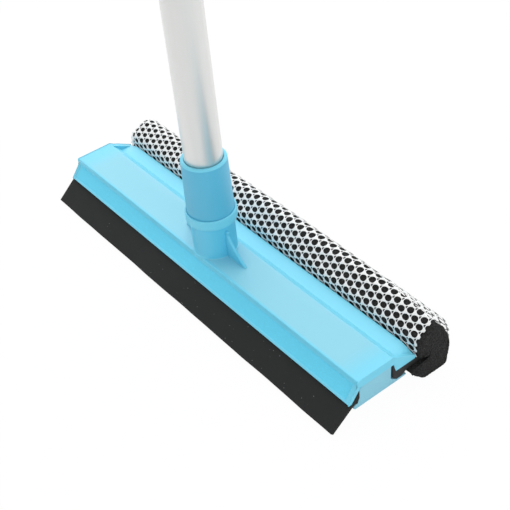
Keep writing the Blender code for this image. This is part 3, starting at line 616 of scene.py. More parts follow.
headPlate = {
    "length": 250.0,
    "topFront": 11.8,
    "topRear": 10.8,
    "thickness": 4.2,
    "band": 3.4,
    "lipReach": 6.6,
    "lipDrop": 11.7,
    "lipWall": 1.7,
    "lipNear": 0.05,         # points of the outline this near its slope are on it
    "slopeRun": 5.4,
    "slopeDrop": 5.7,
    "grooveDepth": 7.6,
    "shelfWidth": 8.6,
    "shelfRise": 2.8,        # the shelf's edge stands higher between its ends
    "riseRun": 9.0,
    "shelfFoot": 9.4,
    "hookRoot": 12.6,
    "hookTop": 11.2,
    "webThickness": 2.6,
    "webEdge": 0.12,
    "webFrom": 0.2,          # behind the flat top's edge
    "panelDepth": 0.5,
    "panelMargin": 2.8,
    "panelMarginLeft": 1.1,
    "panelFoot": 1.2,
    "panelSlopes": (0.0, 0.17, 0.33, 0.5),     # sections across the panel's sloping end
    "panelHead": (0.1, 0.35),                  # gap to the band, and slope
    "panelInner": 0.2,       # the grained face starts this far inside
    "panelDeepest": 0.95,    # and takes in faces up to this depth that face the front
    "panelFacing": -0.3,
    "edgeRound": 0.5,
    "endRound": 0.35,
    "longestEdge": 0.45,
    "sectionStep": 4.0,
    "scoops": ((-68.0, 30.0), (62.0, 30.0)),   # middle and half width of each dip in the top
    "scoopReach": 6.0,
    "scoopDepth": 0.7,
    "scoopRun": 4.0,
}


def lipOutside(z):
    part = headPlate
    slope = part["lipReach"] / (part["lipDrop"] - part["band"])
    return -part["topFront"] - (-part["band"] - z) * slope


def lipInside(z):
    part = headPlate
    slope = part["lipReach"] / (part["lipDrop"] - part["band"])
    return lipOutside(z) + part["lipWall"] * math.hypot(1.0, slope)


def plateOutline():
    part = headPlate
    ease = part["edgeRound"]
    groove = part["topRear"] + part["slopeRun"]
    tip = groove + part["shelfWidth"]
    underside = -part["thickness"]
    foot = -part["lipDrop"]
    corners = [
        (-part["topFront"], 0.0, ease),
        (part["topRear"], 0.0, ease),
        (groove, -part["slopeDrop"], ease * 2),
        (tip, -part["grooveDepth"], ease),
        (tip, -part["shelfFoot"], ease),
        (part["hookRoot"], -part["shelfFoot"], 0.3),
        (part["hookTop"], underside, 0.3),
        (lipInside(underside), underside, 0.3),
        (lipInside(foot), foot, ease),
        (lipOutside(foot), foot, 0.6),
        (-part["topFront"], -part["band"], 0.3),
    ]
    return divided(rounded(corners), part["longestEdge"])


def plateRing(outline, normals, x, inset):
    # the outline at one place along the head, with the panel, dips, web and raised shelf
    part = headPlate
    half = part["length"] / 2
    rear, band = part["topRear"], part["band"]
    root = rear + part["slopeRun"]
    fall = part["grooveDepth"] / (root + part["shelfWidth"] - rear)
    reach = half - (part["panelMargin"] if x > 0 else part["panelMarginLeft"])
    slope = part["panelSlopes"][-1]
    headGap, headSlope = part["panelHead"]
    panelX = smooth((reach - abs(x)) / slope)
    panelLow = -part["lipDrop"] + part["panelFoot"]
    inWeb = abs(x) > half - part["webThickness"] - part["webEdge"] / 2
    edge = rear
    for middle, wide in part["scoops"]:
        edge -= part["scoopReach"] * math.exp(-((x - middle) / wide) ** 2)
    rise = part["shelfRise"] * smooth((half - abs(x)) / part["riseRun"])
    last = int(np.argmax(np.array(outline)[:, 0]))
    ring = []
    for i, ((y, z), (ny, nz)) in enumerate(zip(outline, normals)):
        depth = inset
        if abs(y - lipOutside(z)) < part["lipNear"] and z < -band:
            up = smooth((z - panelLow) / slope) * smooth((-band - headGap - z) / headSlope)
            depth += part["panelDepth"] * up * panelX
        dip = 0.0
        if i <= last and y > edge:
            dip = part["scoopDepth"] * smooth((y - edge) / (rear + part["scoopRun"] - edge))
            dip *= smooth(1 + z / part["slopeDrop"])
        if i <= last + 1 and y > root:
            z += rise * (y - root) / part["shelfWidth"]
        if i <= last and inWeb and y > rear + part["webFrom"]:
            z = max(z, -(y - rear) * fall)
        ring.append((x, y - ny * depth, z - nz * depth - dip))
    return np.array(ring)


def plateStations():
    # places along the head where its outline is drawn, with their insets
    part = headPlate
    half = part["length"] / 2
    ease = part["endRound"]
    stations = []
    for degrees in (90, 60, 30, 0):
        turn = math.radians(degrees)
        stations.append((half - ease + ease * math.sin(turn), ease * (1 - math.cos(turn))))
    web = half - part["webThickness"]
    stations += [(web, 0.0), (web - part["webEdge"], 0.0)]
    for margin in (part["panelMarginLeft"], part["panelMargin"]):
        reach = half - margin
        stations += [(reach - away, 0.0) for away in part["panelSlopes"]]
    x = reach - part["sectionStep"] / 2
    while x > 0:
        stations.append((x, 0.0))
        x -= part["sectionStep"]
    right = sorted(set((round(x, 3), inset) for x, inset in stations))
    left = [(-x, inset) for x, inset in reversed(right)]
    return left + [(0.0, 0.0)] + right


fin = {
    "root": 10.8,
    "foot": -1.4,
    "toe": (26.3, 0.5),
    "neck": (13.4, 14.3),
    "hollow": (-1.3, -1.2),
    "hollowDepth": 0.6,
    "hollowSteps": 8,
    "tip": (12.6, 15.6),
    "tipRadius": 1.0,
    "tipTurns": (-35, -10, 15, 40, 65, 90, 115),
    "top": 16.5,
    "half": 0.8,
    "ease": 0.35,
    "sharp": 70,
}


def finOutline():
    corners = [(fin["root"], fin["foot"]), (fin["toe"][0], fin["foot"]), fin["toe"]]
    for k in range(1, fin["hollowSteps"] + 1):
        t = k / fin["hollowSteps"]
        bow = Vector(fin["hollow"]) * (4 * t * (1 - t)) * fin["hollowDepth"]
        point = Vector(fin["toe"]).lerp(Vector(fin["neck"]), t) + bow
        corners.append((point.x, point.y))
    for degrees in fin["tipTurns"]:
        turn = math.radians(degrees)
        across, up = fin["tip"]
        across += fin["tipRadius"] * math.cos(turn)
        corners.append((across, up + fin["tipRadius"] * math.sin(turn)))
    corners.append((fin["root"], fin["top"]))
    return corners


def finMesh(side):
    outline = finOutline()
    count = len(outline)
    bm = bmesh.new()
    near = [bm.verts.new((side * x, -fin["half"], z)) for x, z in outline]
    far = [bm.verts.new((side * x, fin["half"], z)) for x, z in outline]
    bm.faces.new(near)
    bm.faces.new(list(reversed(far)))
    for i in range(count):
        j = (i + 1) % count
        bm.faces.new((near[i], far[i], far[j], near[j]))
    bmesh.ops.recalc_face_normals(bm, faces=bm.faces)
    limit = math.radians(fin["sharp"])
    eased(bm, [e for e in bm.edges if e.calc_face_angle(0) > limit], fin["ease"])
    bmesh.ops.scale(bm, vec=(mm, mm, mm), verts=bm.verts)
    bmesh.ops.translate(bm, vec=poleFoot, verts=bm.verts)
    return meshOf(bm, "fin")


bossCorners = [
    # radius, height, rounding
    (0.0, 5.0, 0),
    (9.8, 5.0, 0.3),
    (9.8, 23.4, 0.15),
    (12.95, 23.4, 0.2),
    (12.95, 25.5, 0.2),
    (12.74, 25.8, 0.2),
    (12.74, bossHeight, 0.3),
    (13.8, bossHeight, 0.7),
    (13.8, 20.8, 0.7),
    (11.8, 19.8, 0.6),
    (11.8, 0.2, 0),
    (12.3, -0.25, 0),
    (12.3, -2.2, 0),
    (0.0, -2.2, 0),
]

post = {
    "radius": 3.2,
    "bore": 1.6,
    "foot": -15.1,
    "top": -2.8,
    "boreTop": 0.3,          # above the plate's underside
    "sides": 24,
}


def postMesh(x):
    boreTop = -headPlate["thickness"] - post["boreTop"]
    profile = rounded([
        (0.0, boreTop, 0),
        (post["bore"], boreTop, 0),
        (post["bore"], post["foot"], 0.15),
        (post["radius"], post["foot"], 0.2),
        (post["radius"], post["top"], 0),
        (0.0, post["top"], 0),
    ], steps=2)
    points, faces = turnedParts(profile, post["sides"])
    return meshFrom("post", [(px + x, py, pz) for px, py, pz in points], faces)


screws = {
    "count": 6,
    "endMargin": 15.0,
    "headRadius": 2.9,
    "headHeight": 1.0,
    "shankRadius": 1.3,
    "length": 9.0,
    "point": 1.3,
    "recess": (3.0, 0.55, 1.1),      # length, width and height of each slot's block
    "turn": 0.47,            # from one screw to the next
}
screwReach = headPlate["length"] / 2 - screws["endMargin"]
screwStep = 2 * screwReach / (screws["count"] - 1)


def makePlate():
    part = headPlate
    outline = plateOutline()
    normals = outwardNormals(outline)
    rings = [plateRing(outline, normals, x, -inset) for x, inset in plateStations()]
    body = linked("plateBody", meshFrom("plateBody", *lofted(rings)))
    shapes = [meshFrom("boss", *turnedParts(rounded(bossCorners))), finMesh(1), finMesh(-1)]
    for k in range(screws["count"]):
        shapes.append(postMesh(-screwReach + 2 * screwReach * k / (screws["count"] - 1)))
    mesh = combined(body, [linked("joined", shape) for shape in shapes], "UNION")
    obj = pieceFromMesh("plateShell", mesh, [platePlastic, lipPanel], sharpAngle=32)
    inner = part["panelInner"]
    reach = (part["length"] / 2 - part["panelMargin"] - inner) * mm
    for face in mesh.polygons:
        place = face.center - poleFoot
        y, z = place.y / mm, place.z / mm
        inPanel = -part["lipDrop"] + part["panelFoot"] + inner < z < -part["band"] - inner
        sunk = inner < y - lipOutside(z) < part["panelDeepest"]
        facing = face.normal.y < part["panelFacing"]
        if inPanel and sunk and facing and abs(place.x) < reach:
            face.material_index = 1
    return finished(obj, "head", "blue_plastic", "head_plate")


makePlate()
softenedCopy("channelShell", "base_channel", "head", "pale_plastic", palePlastic, width=0.3)

print("blade and carrier")

blade = {
    "length": 251.4,
    "shift": -0.8,           # it sticks out more at the left end
    "corners": [
        (-11.23, -5.9, 0.2),
        (-15.84, -11.7, 0.2),
        (-29.5, -22.8, 0.35),
        (-28.0, -24.4, 0.35),
        (-13.9, -13.7, 0.6),
        (-12.1, -14.4, 0.2),
        (-10.7, -11.0, 0.4),
        (-10.7, -5.9, 0.2),
    ],
    "longestEdge": 0.9,
    "sections": 150,
    "endRun": 1.0,
    "wave": 0.32,
    "waves": ((67.0, 0.4), (41.0, 1.9), (23.0, 0.8)),   # wavelength and phase
    "waveWay": 0.7,
    "lift": 0.25,            # of the free edge
    "freeFrom": 12.5,
    "freeReach": 12.0,
    "endRound": 0.25,
    "endStep": 0.3,          # place of the middle section in the end's rounding
}


def makeBlade():
    part = blade
    outline = divided(rounded(part["corners"], steps=3), part["longestEdge"])
    normals = outwardNormals(outline)
    half = part["length"] / 2
    ease = part["endRound"]
    step = ease * part["endStep"]
    ends = [(half, ease), (half - step, step), (half - ease, 0.0)]
    run = 2 * half - 2 * part["endRun"]
    stations = [(-x, inset) for x, inset in ends]
    for k in range(part["sections"] + 1):
        stations.append((-half + part["endRun"] + run * k / part["sections"], 0.0))
    stations += reversed(ends)
    rings = []
    for x, inset in stations:
        wave = 0.0
        for n, (length, phase) in enumerate(part["waves"]):
            wave += math.sin(2 * math.pi * x / length + phase) / (n + 1)
        ring = []
        for (y, z), (ny, nz) in zip(outline, normals):
            free = smooth((-z - part["freeFrom"]) / part["freeReach"])
            push = part["wave"] * wave * free * part["waveWay"]
            lift = part["lift"] * free
            ring.append((
                x + part["shift"],
                y + ny * inset + push + lift,
                z + nz * inset - push + lift,
            ))
        rings.append(np.array(ring))
    mesh = meshFrom("bladeRubber", *lofted(rings))
    obj = pieceFromMesh("bladeRubber", mesh, [blackRubber], sharpAngle=40)
    return finished(obj, "head", "black_rubber", "squeegee_blade")


makeBlade()
softenedCopy("carrierStrip", "sponge_carrier", "head", "black_rubber", carrierRubber, width=0.3)

print("foam")

foam = {
    "left": -125.0,
    "right": 127.3,
    "corners": [
        (26.1, -9.6, 0.3),
        (26.1, 0.6, 4.5),
        (40.4, 8.8, 6.5),
        (48.2, -8.5, 14.0),
        (43.4, -24.2, 3.0),
        (28.6, -24.0, 4.0),
        (21.2, -17.4, 1.0),
        (20.6, -15.6, 0.5),
        (19.9, -14.3, 0.2),
        (32.0, -13.1, 0.3),
        (32.0, -9.4, 0.3),
    ],
    "netted": 8,             # corners of the outline that the net covers
    "slot": (31.9, -13.8, -9.0),     # the carrier's slot: its depth, lowest and highest
    "slotInset": 0.2,
    "step": 0.55,
    "along": 1.3,
    "edgeRound": 1.6,
    "edgeTurns": (0, 30, 55, 75, 90),
    "endRings": 26,
    "dome": 0.35,            # the ends swell a little
    "bulge": 0.55,           # swell of the free end past the net
    "freeFrom": 125.2,
    "freeRun": 1.2,
    "leftDraw": 3.2,         # the left end is drawn in
    "leftFrom": -118.0,
    "leftPast": 1.8,
    "drawHeld": 0.1,         # share at the plate, all of it this far round the roll
    "drawRun": 16.0,
    "lean": 2.8,             # the roll is leaner at its open end
    "leanFrom": 66.0,
    "leanReach": (0.832, 0.554),
    "leanStart": 22.0,
    "leanRun": 14.0,
    "leanWay": (0.50, 0.866),
    "endSlant": 1.0,         # the open end leans out towards its foot
    "slantFrom": (117.0, 9.0),       # place and run along the head
    "slantBelow": (-6.0, 16.0),
    "bow": 1.6,              # the crest rises between the ends
    "bowMiddle": 28.0,
    "bowHalf": 112.0,
    "bowRound": (12.0, 22.0, 36.0, 48.0),      # where round the roll it rises and falls
    "poreDepth": 0.16,
    "poreScale": 1.3,
    "pitFrom": 0.05,
    "pitGain": 3.0,
    "grain": 0.3,
    "lumpDepth": 0.25,
    "lumpScale": 0.12,
}


def clipped(values):
    return np.clip(values, 0.0, 1.0)


def leftDrawIn(x):
    share = (foam["leftFrom"] - x) / (foam["leftFrom"] - foam["left"] + foam["leftPast"])
    return foam["leftDraw"] * min(max(share, 0.0), 1.0) ** 2


def leaner(points, x):
    reach = points @ np.array(foam["leanReach"])
    weight = clipped((reach - foam["leanStart"]) / foam["leanRun"])
    share = smooth((x - foam["leanFrom"]) / (foam["right"] - foam["leanFrom"]))
    return points - np.outer(weight * share * foam["lean"], foam["leanWay"])


def foamStations():
    # places along the roll where its outline is drawn, with their insets
    ease = foam["edgeRound"]
    stations = []
    x = foam["left"] + ease
    while x < foam["right"] - ease:
        stations.append((x, 0.0))
        x += foam["along"]
    for degrees in foam["edgeTurns"]:
        turn = math.radians(degrees)
        inset = ease * (1 - math.cos(turn))
        stations.append((foam["right"] - ease + ease * math.sin(turn), inset))
        stations.append((foam["left"] + ease - ease * math.sin(turn), inset))
    return sorted(set(stations))


def foamRings(outline):
    normals = outwardNormals(outline)
    depth, low, high = foam["slot"]
    covered = (outline[:, 0] > depth) | (outline[:, 1] > high) | (outline[:, 1] < low)
    steps = np.linalg.norm(outline - np.roll(outline, 1, axis=0), axis=1)
    steps[0] = 0.0
    reach = np.cumsum(steps)
    held = foam["drawHeld"]
    drawWeight = np.clip(held + (1 - held) * reach / foam["drawRun"], held, 1.0)
    start, full, fading, end = foam["bowRound"]
    bowWeight = clipped((reach - start) / (full - start)) * clipped((end - reach) / (end - fading))
    rings = []
    for x, inset in foamStations():
        swell = foam["bulge"] * smooth((x - foam["freeFrom"]) / foam["freeRun"])
        bow = foam["bow"] * max(0.0, 1 - ((x - foam["bowMiddle"]) / foam["bowHalf"]) ** 2)
        outer = swell + bowWeight * bow - inset - drawWeight * leftDrawIn(x)
        shift = np.where(covered, outer, -min(inset, foam["slotInset"]))[:, None]
        ring = leaner(outline + normals * shift, x)
        rings.append(np.column_stack([np.full(len(ring), x), ring]))
    return rings


def endRings(rim, end, way, middle):
    # rings that shrink to the middle of an end
    inner = []
    for k in range(1, foam["endRings"]):
        share = k / foam["endRings"]
        ring = rim.copy()
        ring[:, 1:] = rim[:, 1:] * (1 - share) + middle * share
        ring[:, 0] = end + way * foam["dome"] * (smooth(share * 2) - 1)
        inner.append(ring)
    return inner


def makeFoam():
    outline = np.array(divided(rounded(foam["corners"], steps=5), foam["step"]))
    middle = outline.mean(axis=0)
    rings = foamRings(outline)
    left = endRings(rings[0], foam["left"], -1, middle)
    right = endRings(rings[-1], foam["right"], 1, middle)
    points, faces = lofted(left[::-1] + rings + right)
    top, drop = foam["slantBelow"]
    start, run = foam["slantFrom"]
    low = clipped((top - points[:, 2]) / drop)
    points[:, 0] += foam["endSlant"] * low * clipped((points[:, 0] - start) / run) ** 2
    mesh = meshFrom("foamSponge", points, faces)
    roughened(mesh)
    obj = pieceFromMesh("foamSponge", mesh, [blackFoam], sharpAngle=80)
    return finished(obj, "head", "black_foam", "sponge_core")


def roughened(mesh):
    # open cells: pits where a fine noise is low, on slow lumps
    count = len(mesh.vertices)
    places = np.empty(count * 3)
    normals = np.empty(count * 3)
    mesh.vertices.foreach_get("co", places)
    mesh.vertices.foreach_get("normal", normals)
    places = places.reshape(-1, 3)
    normals = normals.reshape(-1, 3)
    push = np.empty(count)
    pore = foam["poreDepth"]
    for i, place in enumerate((places - np.array(poleFoot)) / mm):
        spot = Vector(place)
        fine = noise.noise(spot * foam["poreScale"])
        slow = noise.noise(spot * foam["lumpScale"])
        pit = -pore * max(0.0, -fine - foam["pitFrom"]) * foam["pitGain"]
        push[i] = pit + pore * foam["grain"] * fine + foam["lumpDepth"] * min(slow, 0.0)
    places += normals * push[:, None] * mm
    mesh.vertices.foreach_set("co", places.ravel())
    mesh.update()


makeFoam()

socketKinds = (
    (bpy.types.Object, "NodeSocketObject"),
    (bpy.types.Material, "NodeSocketMaterial"),
    (Vector, "NodeSocketVector"),
    (int, "NodeSocketInt"),
    (float, "NodeSocketFloat"),
)


def builtByNodes(name, values, laidOut):
    # makes a tree with a named input for each value, runs it on an empty mesh
    # and keeps the result as a plain mesh; laidOut adds the tree's own nodes
    tree = bpy.data.node_groups.new(name, "GeometryNodeTree")
    sockets = {}
    for label, value in values.items():
        kind = next(kind for made, kind in socketKinds if isinstance(value, made))
        sockets[label] = tree.interface.new_socket(label, in_out="INPUT", socket_type=kind)
    tree.interface.new_socket("Geometry", in_out="OUTPUT", socket_type="NodeSocketGeometry")
    maker = NodeMaker(tree)
    given = maker.add("NodeGroupInput").outputs
    shape = laidOut(maker, given)
    dressed = {"Geometry": shape, "Material": given["Finish"]}
    maker.add("NodeGroupOutput", {0: maker.add("GeometryNodeSetMaterial", dressed).outputs[0]})
    holder = linked(name + "Holder", bpy.data.meshes.new(name + "Holder"))
    step = holder.modifiers.new("build", "NODES")
    step.node_group = tree
    for label, value in values.items():
        step[sockets[label].identifier] = value
    mesh = evaluatedMesh(holder)
    removed(holder)
    mesh.name = name
    return mesh


def objectShape(maker, given):
    return maker.add("GeometryNodeObjectInfo", {"Object": given}).outputs["Geometry"]


def copiedOn(maker, points, piece, **others):
    # a real copy of the piece on each point
    sockets = {"Points": points, "Instance": piece, **others}
    copies = maker.add("GeometryNodeInstanceOnPoints", sockets).outputs[0]
    return maker.add("GeometryNodeRealizeInstances", {0: copies}).outputs[0]


def pointIndex(maker):
    return maker.add("GeometryNodeInputIndex").outputs[0]


def pointsAt(maker, count, place):
    return maker.add("GeometryNodePoints", {"Count": count, "Position": place}).outputs[0]


def wholeOf(maker, index, size):
    # in which group of this size a point is; the half keeps it off the borders
    return maker.math("FLOOR", maker.over(maker.plus(index, 0.5), size))


print("net")

net = {
    "columnPitch": 4.685,    # along the head
    "rowPitch": 3.93,        # round the sponge
    "columns": 55,
    "lastColumn": 126.2,
    "trimmed": (-126.1, 125.3),
    "holeLength": 1.80,      # half sizes of a hole
    "holeWidth": 1.37,
    "eggShape": 0.12,
    "slitReach": 0.44,
    "slitTail": 0.74,
    "slitWaist": (0.36, 0.62),
    "slitFoot": 1.12,
    "crest": 0.37,
    "knotHeight": 1.06,      # share of the crest's height
    "midHeight": 0.84,
    "midHeightAtSlit": 0.62,
    "midShare": 0.45,        # from the cell's border to the hole
    "midPull": 0.4,
    "footSize": 1.02,
    "edgeTop": 0.22,
    "edgeFoot": 0.05,
    "gap": 0.2,              # from the foam to the net's inner side
    "step": 0.6,
    "start": 2.35,
    "spare": 1.0,            # left free round the roll
    "merge": 0.02,
    "openRight": 0.24,
    "openLeft": 0.03,
    "slack": 0.5,
    "slackFrom": 80.0,
    "slackRound": (16.0, 27.0, 30.0, 44.0),    # where round the roll it rises and falls
    "wobble": 0.35,
    "wobbleScale": 160.0,
    "wobbleMiddle": 0.3,
    "drift": 2.2,            # the rows slide towards the plate at the open end
    "driftFrom": 60.0,
}


def netLine():
    # the foam's outline that the net covers, set off by the gap
    corners = foam["corners"][:foam["netted"]]
    line = divided(rounded(corners, steps=6, closed=False), net["step"], closed=False)
    normals = outwardNormals(line, closed=False)
    return np.array(line) + normals * net["gap"]


def cellBorder():
    # one mesh cell of the net, with a slit cut off three corners
    wide, tall = net["columnPitch"], net["rowPitch"]
    near = (wide ** 2 - (tall / 2) ** 2) / (2 * wide)
    far = wide - near
    up = tall / 2
    run = far - near
    cut = net["slitReach"]
    tail = net["slitTail"]
    waistU, waistV = net["slitWaist"]
    upper = [
        (far, 0.0, "knot"),
        (near + (run - cut * run) / 2 + cut * run, (up - cut * up) / 2, "strand"),
        (near + cut * run, up - cut * up, "slit"),
        (near - tail * waistU, up - cut * up * waistV, "slit"),
        (near - tail, up, "slit"),
        ((-near + near - tail) / 2, up, "strand"),
        (-near, up, "knot"),
        (-near - (run - cut * run) / 2, (up + cut * up) / 2, "strand"),
        (-far + cut * run, cut * up, "slit"),
    ]
    middle = [(-far + cut * run * net["slitFoot"], 0.0, "slit")]
    lower = [(u, -v, kind) for u, v, kind in reversed(upper[1:])]
    return upper + middle + lower


def cellMesh():
    # the cell's strands, from their crest down into the hole and back under it
    border = cellBorder()
    crest, share = net["crest"], net["midShare"]
    heights = {"knot": crest * net["knotHeight"], "strand": crest, "slit": net["edgeTop"]}
    pulls = {"crest": 0.0, "mid": net["midPull"], "edge": 1.0, "foot": 1.0, "under": 0.0}
    bm = bmesh.new()
    pull = bm.verts.layers.float_vector.new("holeEdge")
    onTop = bm.verts.layers.float.new("onTop")
    loops = {key: [] for key in pulls}
    for u, v, kind in border:
        turn = math.atan2(v, u)
        holeU = net["holeLength"] * math.cos(turn)
        holeV = net["holeWidth"] * math.sin(turn) * (1 + net["eggShape"] * math.cos(turn))
        midU = u * (1 - share) + holeU * share
        midV = v * (1 - share) + holeV * share
        midHeight = crest * net["midHeightAtSlit" if kind == "slit" else "midHeight"]
        foot = net["footSize"]
        places = {
            "crest": (u, v, heights[kind]),
            "mid": (midU, midV, midHeight),
            "edge": (holeU, holeV, net["edgeTop"]),
            "foot": (holeU * foot, holeV * foot, net["edgeFoot"]),
            "under": (u, v, 0.0),
        }
        for key, place in places.items():
            vert = bm.verts.new([c * mm for c in place])
            vert[onTop] = 0.0 if key == "under" else 1.0
            vert[pull] = Vector((math.cos(turn), math.sin(turn), 0.0)) * pulls[key]
            loops[key].append(vert)
    count = len(border)
    order = list(pulls)
    for i in range(count):
        j = (i + 1) % count
        for outer, inner in zip(order, order[1:]):
            bm.faces.new((loops[inner][i], loops[outer][i], loops[outer][j], loops[inner][j]))
        if border[i][2] == "slit" and border[j][2] == "slit":
            top, under = loops["crest"], loops["under"]
            bm.faces.new((top[i], under[i], under[j], top[j]))
    return meshOf(bm, "netCell")


def netNodes(maker, given):
    # cells in staggered columns on a flat cloth, which is then laid round the roll
    index = pointIndex(maker)
    column = wholeOf(maker, index, given["Rows"])
    row = maker.minus(index, maker.times(column, given["Rows"]))
    odd = maker.math("MODULO", column, 2.0)
    across = maker.plus(given["First column"], maker.times(column, given["Column pitch"]))
    rowShare = maker.minus(row, maker.times(odd, 0.5))
    along = maker.plus(given["First row"], maker.times(rowShare, given["Row pitch"]))
    count = maker.times(given["Columns"], given["Rows"])
    points = pointsAt(maker, count, maker.point(across, along))
    cloth = copiedOn(maker, points, objectShape(maker, given["Cell"]))
    sockets = {"Geometry": cloth, "Distance": net["merge"] * mm}
    cloth = maker.add("GeometryNodeMergeByDistance", sockets).outputs[0]
    flat = maker.parts(maker.add("GeometryNodeInputPosition").outputs[0])
    sockets = {"Name": "holeEdge"}
    edge = maker.add("GeometryNodeInputNamedAttribute", sockets, data_type="FLOAT_VECTOR")
    last = maker.times(maker.minus(given["Columns"], 1.0), given["Column pitch"])
    rightEnd = maker.plus(given["First column"], last)

    # the holes open, and the rows slide, towards the open end
    opened = maker.ramp(
        flat[0], given["First column"], rightEnd, given["Open left"], given["Open right"],
    )
    pulled = maker.parts(maker.scaled(edge.outputs[0], opened))
    u = maker.plus(flat[0], pulled[0])
    slide = maker.ramp(flat[0], given["Drift from"], rightEnd, 0.0, given["Drift"])
    v = maker.minus(maker.plus(flat[1], pulled[1]), slide)

    # place and outward direction on the roll's outline
    sockets = {"Curves": objectShape(maker, given["Outline"]), "Length": v}
    sample = maker.add("GeometryNodeSampleCurve", sockets, mode="LENGTH")
    ground = maker.parts(sample.outputs["Position"])
    onLine = maker.point(u, ground[1], ground[2])
    side = maker.vector("CROSS_PRODUCT", (1.0, 0.0, 0.0), sample.outputs["Tangent"])
    outward = maker.vector("NORMALIZE", side)

    # height: slack at the open end, the roll's bow, a wobble, and the drawn-in left end
    loose = maker.ramp(flat[0], given["Slack from"], rightEnd, 0.0, given["Slack"])
    slack = maker.times(loose, maker.plateau(flat[1], *(r * mm for r in net["slackRound"])))
    away = maker.over(maker.minus(flat[0], given["Bow middle"]), given["Bow half"])
    bow = maker.math("MAXIMUM", maker.minus(1.0, maker.times(away, away)), 0.0)
    bowRound = maker.plateau(flat[1], *(r * mm for r in foam["bowRound"]))
    bow = maker.times(bow, given["Bow"], bowRound)
    wobble = maker.add("ShaderNodeTexNoise", {"Scale": net["wobbleScale"], "Detail": 1.0})
    wobble = maker.minus(wobble.outputs["Fac"], net["wobbleMiddle"])
    wobble = maker.times(wobble, net["wobble"] * mm)
    drawn = maker.ramp(flat[0], given["Draw from"], given["First column"])
    drawn = maker.times(drawn, drawn, given["Draw in"])
    held = maker.ramp(flat[1], 0.0, foam["drawRun"] * mm, foam["drawHeld"], 1.0)
    lift = maker.plus(flat[2], maker.plus(slack, bow, wobble))
    lift = maker.minus(lift, maker.times(drawn, held))
    final = maker.vector("ADD", onLine, maker.scaled(outward, lift))
    sockets = {"Geometry": cloth, "Position": final}
    return maker.add("GeometryNodeSetPosition", sockets).outputs[0]


def hemmed(bm):
    # joins the net's face to its underside along both long borders
    onTop = bm.verts.layers.float["onTop"]
    rims = [e for e in bm.edges if e.is_boundary]
    under = list({v for e in rims for v in e.verts if v[onTop] < 0.5})
    tree = KDTree(len(under))
    for i, vert in enumerate(under):
        tree.insert(vert.co, i)
    tree.balance()
    for edge in rims:
        a, b = edge.verts
        if a[onTop] > 0.5 and b[onTop] > 0.5:
            c, d = under[tree.find(b.co)[1]], under[tree.find(a.co)[1]]
            if c != d:
                bm.faces.new((a, b, c, d))


def trimmed(mesh, left, right):
    # the cloth is cut straight at both ends, and the cut strands are closed
    bm = bmesh.new()
    bm.from_mesh(mesh)
    for x, side in ((left, -1), (right, 1)):
        cut = bmesh.ops.bisect_plane(
            bm, geom=bm.verts[:] + bm.edges[:] + bm.faces[:], plane_co=placed(x, 0, 0),
            plane_no=(side, 0, 0), clear_outer=True,
        )
        rim = [e for e in cut["geom_cut"] if isinstance(e, bmesh.types.BMEdge)]
        bmesh.ops.holes_fill(bm, edges=rim, sides=0)
    hemmed(bm)
    bmesh.ops.recalc_face_normals(bm, faces=bm.faces)
    bm.to_mesh(mesh)
    bm.free()


def makeNet():
    line = netLine()
    curve = bpy.data.curves.new("netLine", "CURVE")
    curve.dimensions = "3D"
    spline = curve.splines.new("POLY")
    spline.points.add(len(line) - 1)
    for point, (y, z) in zip(spline.points, line):
        point.co = (*placed(0.0, y, z), 1.0)
    guide = linked("netLine", curve)
    cell = linked("netCell", cellMesh())
    girth = float(np.linalg.norm(np.diff(line, axis=0), axis=1).sum())
    rows = int((girth - net["start"] - net["spare"]) / net["rowPitch"] - 1)
    first = net["lastColumn"] - (net["columns"] - 1) * net["columnPitch"]
    mesh = builtByNodes("netCover", {
        "Cell": cell,
        "Outline": guide,
        "Columns": net["columns"],
        "Rows": rows,
        "Column pitch": net["columnPitch"] * mm,
        "Row pitch": net["rowPitch"] * mm,
        "First column": poleFoot.x + first * mm,
        "First row": (net["start"] + net["rowPitch"] / 2) * mm,
        "Open left": net["openLeft"] * mm,
        "Open right": net["openRight"] * mm,
        "Slack": net["slack"] * mm,
        "Slack from": poleFoot.x + net["slackFrom"] * mm,
        "Draw in": foam["leftDraw"] * mm,
        "Draw from": poleFoot.x + foam["leftFrom"] * mm,
        "Drift": net["drift"] * mm,
        "Drift from": poleFoot.x + net["driftFrom"] * mm,
        "Bow": foam["bow"] * mm,
        "Bow middle": poleFoot.x + foam["bowMiddle"] * mm,
        "Bow half": foam["bowHalf"] * mm,
        "Finish": whiteYarn,
    }, netNodes)
    removed(guide, cell)
    trimmed(mesh, *net["trimmed"])
    obj = pieceFromMesh("netCover", mesh, [whiteYarn], sharpAngle=60)
    surface = sum(face.area for face in mesh.polygons) / 2
    wide = (net["trimmed"][1] - net["trimmed"][0]) * mm
    tall = (rows + 0.5) * net["rowPitch"] * mm
    share = round(surface / (wide * tall), 3)
    print("net rows", rows, "girth", round(girth, 1), "share", share, len(mesh.polygons))
    return finished(obj, "head", "white_net", "sponge_net")


makeNet()

print("base screws")


